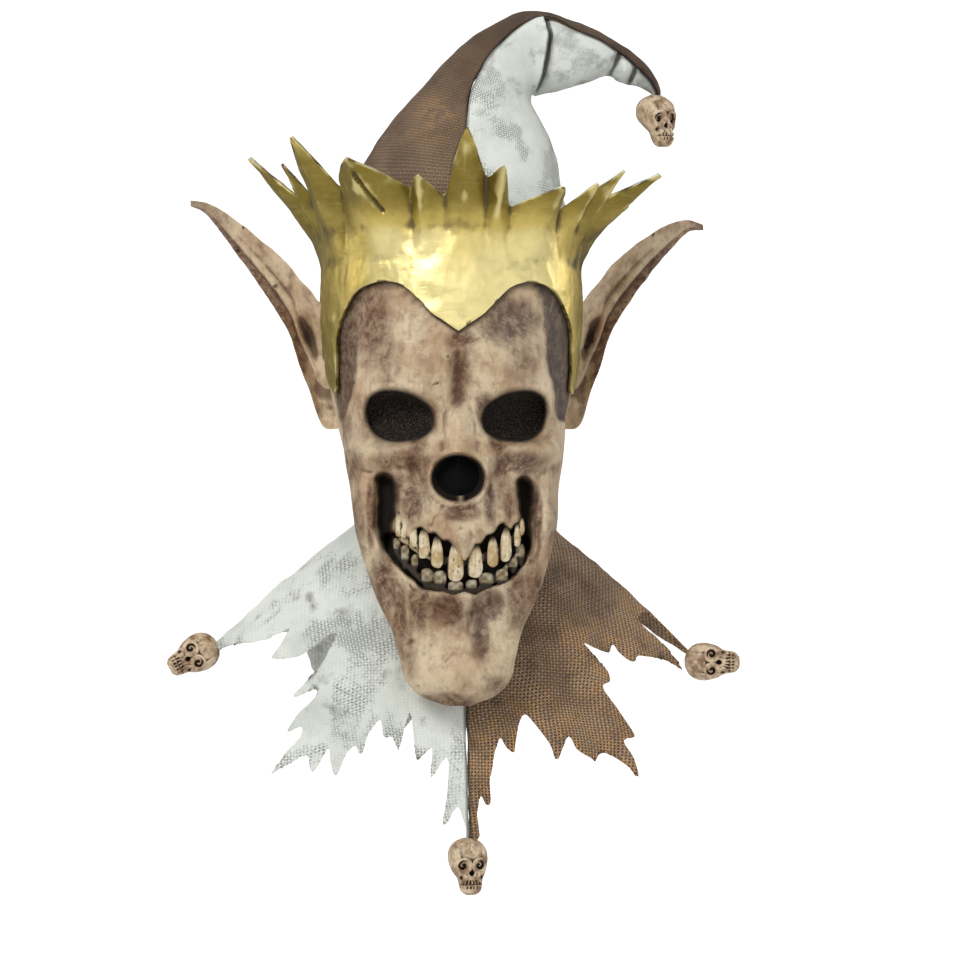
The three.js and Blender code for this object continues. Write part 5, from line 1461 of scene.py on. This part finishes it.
# %% Sections of the hat
HAT_LATEX = 0.0025
HAT_TOP = 0.216
HAT_REACH = 0.172
HAT = columns(
    "index outer_x outer_z inner_x inner_z deep back seam",
    (0, -0.97 * HALF_WIDTH / HAT_REACH, (RIM_HEIGHT + GAP) / HAT_TOP, 0.97 * HALF_WIDTH / HAT_REACH,
     (RIM_HEIGHT + GAP) / HAT_TOP, 1.85 * HALF_DEPTH / (1.94 * HALF_WIDTH), 0.025, 0.5),
    (1, -0.419, 0.418, 0.524, 0.324, 1.06, 0.025, 0.45),
    (2, -0.262, 0.596, 0.505, 0.437, 1, 0.02, 0.43),
    (3, -0.095, 0.747, 0.452, 0.55, 0.95, 0.01, 0.35),
    (4, 0.057, 0.872, 0.39, 0.634, 0.95, 0, 0.33),
    (5, 0.214, 0.958, 0.381, 0.671, 0.9, 0, 0.27),
    (6, 0.333, 1, 0.395, 0.686, 0.8, 0, 0.2),
    (7, 0.467, 1, 0.452, 0.69, 0.7, 0, 0.1),
    (8, 0.595, 0.966, 0.548, 0.709, 0.75, 0, 0.18),
    (9, 0.714, 0.924, 0.667, 0.739, 0.85, 0, 0.23),
    (10, 0.833, 0.872, 0.752, 0.762, 0.85, 0, 0.33),
    (11, 0.905, 0.826, 0.8, 0.739, 0.85, 0, 0.36),
    (12, 0.971, 0.766, 0.895, 0.717, 0.9, 0, 0.42),
    (13, 1.005, 0.709, 0.952, 0.694, 0.95, 0, 0.5),
    (14, 1, 0.675, 0.962, 0.675, 1, 0, 0.5),
)
HAT_ROWS = len(HAT["index"]) - 1
THREAD = 0.0021
HAT_ACROSS = 100
HAT_DOWN = 216


def hat_parts(v):
    at = v * HAT_ROWS
    value = lambda name: between(HAT, name, at, "index")
    back = value("back") * HALF_DEPTH
    outer = np.stack((value("outer_x") * HAT_REACH, back, value("outer_z") * HAT_TOP), 1)
    inner = np.stack((value("inner_x") * HAT_REACH, back, value("inner_z") * HAT_TOP), 1)
    half = np.linalg.norm(inner - outer, axis=1) / 2
    seam = np.arccos(np.clip(2 * value("seam") - 1, -1, 1))
    return (outer + inner) / 2, (inner - outer) / 2, half, value("deep"), seam


def hat_place(white):
    def place(u, v):
        middle, across, half, deep, seam = hat_parts(v)
        slit = GAP / 2 / half
        start = np.where(white, -seam + slit, seam + slit)
        end = np.where(white, seam - slit, 2 * math.pi - seam - slit)
        turn = start + u * (end - start)
        power = 2 / ROUNDNESS
        cosine = np.sign(np.cos(turn)) * np.abs(np.cos(turn)) ** power
        sine = np.sign(np.sin(turn)) * np.abs(np.sin(turn)) ** power
        depth = np.stack((np.zeros_like(half), -half * deep, np.zeros_like(half)), 1)
        return middle + across * cosine[:, None] + depth * sine[:, None]
    return place


# %% Model the two halves of the hat
def count_threads(piece, thread, pressed):
    """Counts threads over a collar from its places, and says how deeply they are pressed in."""
    x, y, z = points_of(piece).T
    sway = 0.0016 * np.sin(90 * z + 1) + 0.001 * np.sin(130 * x + 70 * z)
    mark(piece, "warp", (x + 0.05 * z + sway) / thread)
    mark(piece, "weft", (z - 0.8 * np.abs(y) - 0.05 * x + sway) / thread)
    mark(piece, "pressed", np.full(len(x), pressed))


def map_threads(piece, shares, thread, across_length, down_length, pressed):
    """Counts threads along the two shares that laid out a skin, so the weave follows the cloth."""
    across, down = shares
    mark(piece, "warp", across * across_length / thread)
    mark(piece, "weft", down * down_length / thread)
    mark(piece, "pressed", np.full(len(across), pressed))


def hat_half(name, white, slot, material, node):
    piece = skin(name, hat_place(white), HAT_ACROSS, HAT_DOWN)
    places = points_of(piece)
    if white:
        places[:, 1] += fold_depth(places)
        put_points(piece, places)
    down = np.repeat(np.linspace(1, 0, HAT_DOWN + 1), HAT_ACROSS + 1)
    around = np.tile(np.linspace(0, 1, HAT_ACROSS + 1), HAT_DOWN + 1)
    map_threads(piece, (around, down), THREAD, 0.25, 0.46, 0.45)
    _, _, half, _, _ = hat_parts(down)
    weigh(piece, "wall", np.minimum(1, 0.55 * half / HAT_LATEX))
    facing = sum(face.normal.dot(face.center - Vector((0.03, 0, face.center.z)))
                 for face in piece.data.polygons[-4000:])
    if facing < 0:
        edit(piece, (bpy.ops.mesh.flip_normals, {}))
    apply(piece, "SOLIDIFY", thickness=HAT_LATEX, offset=-1, vertex_group="wall")
    rumple(piece, 0.03, 0.003, group="wall")
    places = points_of(piece)
    deep = hat_seam(places)
    if white:
        # On the white half, the folds also get painted shade.
        deep = np.maximum(deep, painted_fold_shade(places))
    mark(piece, "deep", deep)
    rub = bump(np.hypot((places[:, 0] + 0.014) / 0.03, (places[:, 2] - 0.127) / 0.032))
    mark(piece, "orange", rub * (places[:, 1] < 0))
    mark(piece, "hollow", hollowness(piece, 20, 0.001))
    finish_piece(piece, slot, material, node)


def hat_seam(places):
    """How near a point lies to the seam between the two halves."""
    rows = np.linspace(0.02, 1, 240)
    near = np.full(len(places), np.inf)
    for end in (0.0, 1.0):
        line = hat_place(True)(np.full(len(rows), end), rows)
        for start in range(0, len(places), 20000):
            part = places[start:start + 20000]
            gaps = np.linalg.norm(part[:, None, :] - line[None, :, :], axis=2).min(1)
            near[start:start + 20000] = np.minimum(near[start:start + 20000], gaps)
    return 0.85 * step(0.0026, 0.0006, near)


# The big crease of the white half, as a line down its front, and the small ones near the tip.
CREASE = columns("z x", (0.140, 0.0665), (0.147, 0.0678), (0.1625, 0.0731), (0.1811, 0.0763),
                 (0.1958, 0.0783), (0.2019, 0.0763), (0.21, 0.075))
TIP_CREASES = (((0.1375, 0.181), (0.134, 0.172), (0.129, 0.163)),
               ((0.1525, 0.174), (0.150, 0.166), (0.146, 0.158)))
CREASE_DEPTH = 0.009
CREASE_REACH = 0.014
TIP_CREASE_DEPTH = 0.004


def beyond_crease(places):
    """How far to the right of the big crease each point lies."""
    return places[:, 0] - np.interp(places[:, 2], CREASE["z"], CREASE["x"])


def fold_depth(places):
    """How far back the folds push the white half of the hat."""
    right = beyond_crease(places)
    upper = step(0.138, 0.15, places[:, 2]) * step(0.022, 0.012, places[:, 1])
    behind = CREASE_DEPTH * np.exp(-np.clip(right, 0, None) / CREASE_REACH) * step(-0.0006, 0.0012, right)
    bulge = -0.35 * CREASE_DEPTH * np.exp(-np.clip(-right, 0, None) / CREASE_REACH)
    bulge = bulge * step(0.0012, -0.0006, right)
    small = sum(ridge(places[:, 0], places[:, 2], path, 0.0045) for path in TIP_CREASES)
    between_them = bump(np.hypot((places[:, 0] - 0.142) / 0.006, (places[:, 2] - 0.169) / 0.01))
    front = step(0.012, 0.0, places[:, 1])
    return (behind + bulge) * upper + (TIP_CREASE_DEPTH * small - 0.003 * between_them) * front


def painted_fold_shade(places):
    """How dark the painted shade in the folds of the white half is."""
    right = beyond_crease(places)
    upper = step(0.142, 0.152, places[:, 2]) * step(0.203, 0.196, places[:, 2]) * (places[:, 1] < 0.012)
    dark = step(-0.0012, 0.0004, right) * step(0.006, 0.001, right) * step(0.14, 0.19, places[:, 2])
    small = sum(ridge(places[:, 0], places[:, 2], path, 0.0035) for path in TIP_CREASES)
    return np.clip(np.maximum(0.7 * dark * upper, 0.5 * small * (places[:, 1] < 0.012)), 0, 0.95)


hat_half("brown_hat_half", False, "brown_latex", BROWN_CANVAS, "hat_brown")
hat_half("white_hat_half", True, "white_latex", WHITE_CANVAS, "hat_white")

# %% [markdown]
# ## The ears
# Long pointed ears, each a cupped leaf with a rolled rim, a ridge down its middle and a dark
# hollow near its root. The leaf is one closed skin, which runs outwards from the head and
# round from its upper edge down its front and up its back.

# %% Outline of an ear
EAR_REACH = 0.110
EAR_HEIGHT = 0.180
EAR_SET_BACK = 0.026
EAR_LATEX = 0.004
EAR_TIP_LIFT = 0.009
EAR_DOWN = 0.221
EAR_BACK = 0.12
EAR_CUP = 0.2
EAR = columns(
    "out top low",
    (-0.1, 0.3, -0.27), (0, 0.3, -0.265), (0.05, 0.31, -0.22), (0.11, 0.36, -0.1), (0.19, 0.415, 0.02),
    (0.25, 0.465, 0.145), (0.37, 0.535, 0.275), (0.51, 0.605, 0.4), (0.62, 0.655, 0.49),
    (0.75, 0.705, 0.59), (0.88, 0.735, 0.68), (1, 0.73, 0.705),
)


def ear_place(side, tip_lift):
    """A closed leaf: u runs outwards and v round it, from its upper edge down its front and back."""
    def place(u, v):
        out = EAR["out"][0] + u * (EAR["out"][-1] - EAR["out"][0])
        top = between(EAR, "top", out, "out") * EAR_HEIGHT
        low = between(EAR, "low", out, "out") * EAR_HEIGHT
        ahead = np.maximum(out, 0)
        tall = top - low
        turn = v * 2 * math.pi
        level = np.cos(turn)
        front = np.sin(turn) > 0
        rim = bump((np.abs(level) - 0.86) / 0.22)
        thick = EAR_LATEX / 2 * (1.0 + 0.75 * rim) * np.sqrt(np.abs(np.sin(turn)))
        thick = np.minimum(thick, tall * 0.32)
        thick = thick * step(1.02, 0.9, out) ** 0.5
        y = EAR_BACK * HALF_DEPTH + ahead * EAR_SET_BACK - level**2 * tall * EAR_CUP
        groove = 0.0032 * bump((level + 0.42) / 0.16) - 0.003 * bump((level + 0.1) / 0.3)
        shell = 0.009 * bump(np.hypot((out - 0.12) / 0.1, (level - 0.05) / 0.45))
        y = y + np.where(front, -thick + (groove * step(0.02, 0.05, tall) + shell), thick + shell)
        z = (top + low) / 2 + level * tall / 2 + tip_lift * ahead**3 - EAR_DOWN * FACE_LENGTH
        return np.stack((side * (HALF_WIDTH + out * EAR_REACH), y, z), 1)
    return place


# %% Model the ears
def ear(name, side, tip_lift, node):
    piece = skin(name, ear_place(side, tip_lift), 130, 120, closed=True, capped=True)
    rumple(piece, 0.014, 0.0016)
    places = points_of(piece)
    out = (np.abs(places[:, 0]) - HALF_WIDTH) / EAR_REACH
    z = places[:, 2] + EAR_DOWN * FACE_LENGTH
    top = between(EAR, "top", out, "out") * EAR_HEIGHT
    low = between(EAR, "low", out, "out") * EAR_HEIGHT
    level = 2 * (z - tip_lift * np.maximum(out, 0) ** 3 - (top + low) / 2) / np.maximum(top - low, 0.004)
    front = places[:, 1] < EAR_BACK * HALF_DEPTH + 0.02
    shell = bump(np.hypot((out - 0.12) / 0.07, (level - 0.05) / 0.3))
    groove = bump((level + 0.45) / 0.22) * step(0.02, 0.2, out)
    mark(piece, "deep", 0.92 * shell * front)
    mark(piece, "brown", np.maximum(0.8 * groove, 0.55 * step(0.45, 1.0, out)))
    mark(piece, "cool", 0.35 * step(0.3, 0.9, out))
    mark(piece, "hollow", hollowness(piece, 20, 0.0011))
    finish_piece(piece, "bone_latex", BONE, node, angle=70)


ear("left_ear", -1, EAR_TIP_LIFT, "ear_left")
ear("right_ear", 1, -EAR_TIP_LIFT, "ear_right")

# %% [markdown]
# ## The ragged collar
# Two halves of thin latex fall from the neck over chest and shoulders, white at the viewer's
# left and brown at the right, torn into points. Each is a skin from the neck down, as long at
# each turn as its table says. The table ends the back part. In front the skin is too long, and
# a column with the outline of the torn edge cuts it to its points.

# %% Edge and fall of the collar
COLLAR_LENGTH = 0.235
COLLAR_LATEX = 0.003
COLLAR_FOLD = 0.005
COLLAR_BULGE = 0.006
COLLAR_SEAM = 4.3
SEAM_START = 0.016
COLLAR_SLOPE = 41
COLLAR_STEEPER = 37
COLLAR_BROWN_DROP = 3
COLLAR_FOLDS = 9
COLLAR_THREAD = 0.0028
COLLAR_EDGE = columns(
    "turn run",
    (-184, 0.72), (-176, 0.84), (-168, 0.72), (-160, 0.82), (-152, 0.68), (-144, 0.8), (-135, 0.66),
    (-126, 0.62), (-117, 0.5), (-108, 0.54), (-99, 0.47), (-91, 0.72), (-80, 0.9), (-65, 1.15),
    (-50, 1.25), (50, 1.25), (65, 1.15), (80, 0.95), (90, 0.76), (97, 0.5), (106, 0.54), (115, 0.48),
    (124, 0.58), (133, 0.74), (142, 0.64), (151, 0.78), (160, 0.68), (168, 0.8), (176, 0.72), (184, 0.84),
)
# The torn edge of each half as seen from the front, in hundredths of a span. Its middle is the
# middle of the face, and its top is the height of the mouth's corners.
SPAN = 0.262
SPAN_MIDDLE = 77.4
SPAN_TOP = -0.199
WHITE_EDGE = (
    (92, 96), (81, 97), (80, 92.5), (77.5, 86), (73.5, 91), (74.5, 83), (75, 78), (74.2, 71.5), (69.5, 77.5),
    (70, 68.5), (65.5, 72.5), (64.5, 67), (63.2, 57.5), (60, 69.5), (58, 65), (55.5, 65), (54.5, 59.5),
    (51, 64), (48.5, 70), (47, 67.5), (44, 70), (41, 76.5), (39.5, 71.5), (38.5, 68.5), (34, 75.5),
    (32.5, 70.5), (26, 74), (21.5, 76.5), (24, 72.5), (30, 65.5), (30.5, 62.5), (26.5, 64), (28.5, 60),
    (34, 54.5), (35, 51.5), (28.5, 53.5), (31, 50), (36.5, 44), (39.5, 39.5), (41.5, 34.5), (38, 35.5),
    (32, 40.5), (28, 42), (22, 42.5), (24, 38.5), (27.5, 33), (23, 35), (18, 37.2), (10, 38.8), (4.4, 39.6),
    (4.4, 30), (4.4, -20), (4.4, -60), (92, -60),
)
BROWN_EDGE = (
    (60, 97), (82, 97), (83.5, 88), (84.5, 83), (86, 85.5), (87.5, 85), (87, 79), (88, 74), (89, 69),
    (90.5, 65.5),
    (92.5, 68.5), (95, 70), (95.5, 64), (97.5, 59), (100, 60), (103, 64), (106, 68), (107.5, 72), (109, 70),
    (111.5, 65.5), (114, 69), (118, 72), (119.5, 73), (121.5, 70.5), (126, 72.5), (130, 75), (132.5, 77.5),
    (131.2, 72), (128.5, 67), (132.2, 66), (130, 62), (126, 56.5), (122.5, 51), (125, 49.5), (124.3, 46.5),
    (120, 41), (116, 36.8), (120, 39), (125, 41), (126.5, 38.5), (129, 41.5), (133, 43.8), (134.5, 42),
    (140, 43), (145, 44.5), (149.4, 47), (144, 39.5), (138.5, 35), (135, 31.5), (137.5, 29), (150, 20),
    (150, -60), (60, -60),
)
# Where points of the collar carry a small skull, in degrees of turn and in collar lengths.
LEFT_TIP = (-90, 0.69)
RIGHT_TIP = (86.5, 0.735)
FRONT_TIP = (3.7, 1.11)


def collar_outline(edge):
    """An edge in metres, as a closed curve."""
    across, down = np.array(edge, float).T
    return rounded(np.stack(((across - SPAN_MIDDLE) / 100 * SPAN, SPAN_TOP - down / 100 * SPAN), 1), 3)


def collar_point(degrees, run):
    turn = np.radians(degrees)
    sine = np.sin(turn)
    cosine = np.cos(turn)
    slope = np.radians(COLLAR_SLOPE + COLLAR_STEEPER * np.abs(cosine)
                       + COLLAR_BROWN_DROP * np.maximum(sine, 0))
    half, front, back = cranium_section(NECK_HEIGHT)
    depth = np.where(cosine > 0, -front, back)
    share = np.clip(run / COLLAR_LENGTH, 0, 1)
    swell = np.abs(sine) * (COLLAR_FOLD * share * np.sin(turn * COLLAR_FOLDS)
                            + COLLAR_BULGE * np.sin(math.pi * share))
    out = run * np.cos(slope) + swell * np.sin(slope)
    return np.stack(((half + out) * sine, -(depth + out) * cosine,
                     NECK_HEIGHT - GAP - run * np.sin(slope) + swell * np.cos(slope)), -1)


# %% Model the two halves of the collar
def collar_half(name, start, end, slot, material, node, edge):
    slit = math.degrees(GAP / 3 / (CRANIUM["half"][-1] * HALF_WIDTH))

    def place(u, v):
        degrees = start + slit + u * (end - start - 2 * slit)
        return collar_point(degrees, v * straight(COLLAR_EDGE, "run", degrees) * COLLAR_LENGTH)

    piece = skin(name, place, 400, 66)
    if sum(face.normal.z for face in piece.data.polygons) < 0:
        edit(piece, (bpy.ops.mesh.flip_normals, {}))
    apply(piece, "SOLIDIFY", thickness=COLLAR_LATEX, offset=-1)
    outline = collar_outline(edge)
    far = 3 * COLLAR_LENGTH
    kept = column("kept_front", outline, -far, 0.002)
    behind = column("kept_back", np.array(((-far, -far), (far, -far), (far, 0), (-far, 0))), 0.0, far)
    join_or_cut(kept, behind, "UNION")
    join_or_cut(piece, kept, "INTERSECT")
    x, y, z = points_of(piece).T
    count_threads(piece, COLLAR_THREAD, 1.0)
    from_edge = -distance_to(x, z, outline)
    in_front = y < 0.002
    mark(piece, "orange", np.where(in_front, step(0.05, 0.004, from_edge), 0.4))
    seam_across = (SEAM_START - y) * math.tan(math.radians(COLLAR_SEAM))
    mark(piece, "deep", 0.8 * step(0.0032, 0.0008, np.abs(x - seam_across)) * in_front)
    rumple(piece, 0.035, 0.006)
    rumple(piece, 0.012, 0.0015)
    mark(piece, "hollow", hollowness(piece, 30, 0.0015))
    finish_piece(piece, slot, material, node)


collar_half("white_collar_half", -180, COLLAR_SEAM, "white_latex", WHITE_CANVAS, "collar_left", WHITE_EDGE)
collar_half("brown_collar_half", COLLAR_SEAM, 180, "brown_latex", BROWN_CANVAS, "collar_right", BROWN_EDGE)

# %% [markdown]
# ## The small skulls
# Four small cast skulls hang from the points: round-backed, with deep sockets that wind inwards,
# looped cheeks and teeth cut as two rows of upright grooves. One is modelled hanging straight
# down, and each of the four is a copy with its own mesh, turned to hang from its point.

# %% Sections and relief of a small skull
CHARM_HEIGHT = 0.043
CHARM_WIDTH = 0.031
CHARM_DEPTH = 0.032
CHARM_SINK = 0.003
CHARM = columns(
    "down half front back",
    (0, 0.3, -0.3, 0.35), (0.07, 0.66, -0.6, 0.75), (0.2, 0.92, -0.86, 1), (0.36, 1, -0.95, 1),
    (0.48, 0.95, -0.9, 0.86), (0.6, 0.84, -0.88, 0.5), (0.72, 0.64, -0.98, 0.2),
    (0.84, 0.58, -1, 0.05), (0.94, 0.5, -0.95, -0.1), (1, 0.3, -0.8, -0.25),
)


def charm_relief(x, down):
    """Relief of a small skull's face, where x is a share of its half width."""
    side = np.abs(x)
    away = np.hypot((side - 0.42) / 0.33, (down - 0.47) / 0.115)
    turn = np.arctan2((down - 0.47) / 0.115, (side - 0.42) / 0.33)
    lift = -0.0042 * step(1.05, 0.35, away)
    lift = lift + 0.0012 * np.sin(turn + 7 * away) * step(1.0, 0.8, away) * step(0.05, 0.3, away)
    lift = lift + 0.0013 * bump((away - 1.15) / 0.3)
    lift = lift - 0.003 * bump(np.hypot(side / 0.19, (down - 0.61) / 0.075))
    cheek = np.hypot((side - 0.55) / 0.26, (down - 0.69) / 0.085)
    lift = lift - 0.0026 * bump(cheek / 0.8) + 0.0011 * bump((cheek - 1) / 0.3)
    for level, tall in ((0.765, 0.036), (0.85, 0.034)):
        band = step(1.1, 0.8, np.abs(down - level) / tall) * step(0.62, 0.5, side)
        lift = lift + band * (0.0009 - 0.0014 * bump((((x / 0.165) % 1) - 0.5) / 0.22))
    lift = lift - 0.0014 * bump((down - 0.808 - 0.04 * side**2) / 0.014) * step(0.66, 0.5, side)
    lift = lift - 0.0008 * bump((x - 0.05 * np.sin(30 * down)) / 0.05) * step(0.34, 0.2, down)
    return lift


def charm_place(u, v):
    half = between(CHARM, "half", v) * CHARM_WIDTH / 2
    front = between(CHARM, "front", v) * CHARM_DEPTH / 2
    back = between(CHARM, "back", v) * CHARM_DEPTH / 2
    turn = u * 2 * math.pi
    x, y = section_place(half, (front + back) / 2, front, back, turn)
    lift = charm_relief(x / (CHARM_WIDTH / 2), v) * np.clip(1.5 * np.cos(turn), 0, 1)
    return np.stack((x, y - lift, -v * CHARM_HEIGHT), 1)


# %% Model one small skull and hang its copies
CHARMS = (
    ("hat_charm", None, 0, 35, "hat_skull"),
    ("left_charm", LEFT_TIP, 62, 0, "left_skull"),
    ("right_charm", RIGHT_TIP, -90, 0, "right_skull"),
    ("front_charm", FRONT_TIP, 0, 12, "front_skull"),
)
small_skull = skin("small_skull", charm_place, 112, 100, closed=True, capped=True)
mark(small_skull, "hollow", hollowness(small_skull, 16, 0.0005))
mark(small_skull, "deep", np.zeros(len(small_skull.data.vertices)))
hat_tip = hat_place(True)(np.array((0.5,)), np.array((1.0,)))[0]
hat_tip_other = hat_place(False)(np.array((0.5,)), np.array((1.0,)))[0]

for name, collar_tip, roll, turn, node in CHARMS:
    if collar_tip is None:
        point = Vector((hat_tip + hat_tip_other) / 2)
    else:
        point = Vector(collar_point(np.array((float(collar_tip[0]),)), collar_tip[1] * COLLAR_LENGTH)[0])
    placing = Matrix.Rotation(math.radians(turn), 4, "Z") @ Matrix.Rotation(math.radians(roll), 4, "Y")
    up = placing @ Vector((0, 0, 1))
    charm = small_skull.copy()
    charm.data = small_skull.data.copy()
    charm.name = name
    bpy.context.scene.collection.objects.link(charm)
    charm.data.transform(Matrix.Translation(point + up * CHARM_SINK) @ placing)
    finish_piece(charm, "charm_latex", CHARM_BONE, node)
bpy.data.objects.remove(small_skull)

# %% Print the frame's box and finish
print("Frame box", [list(corner) for corner in cad_bounds])
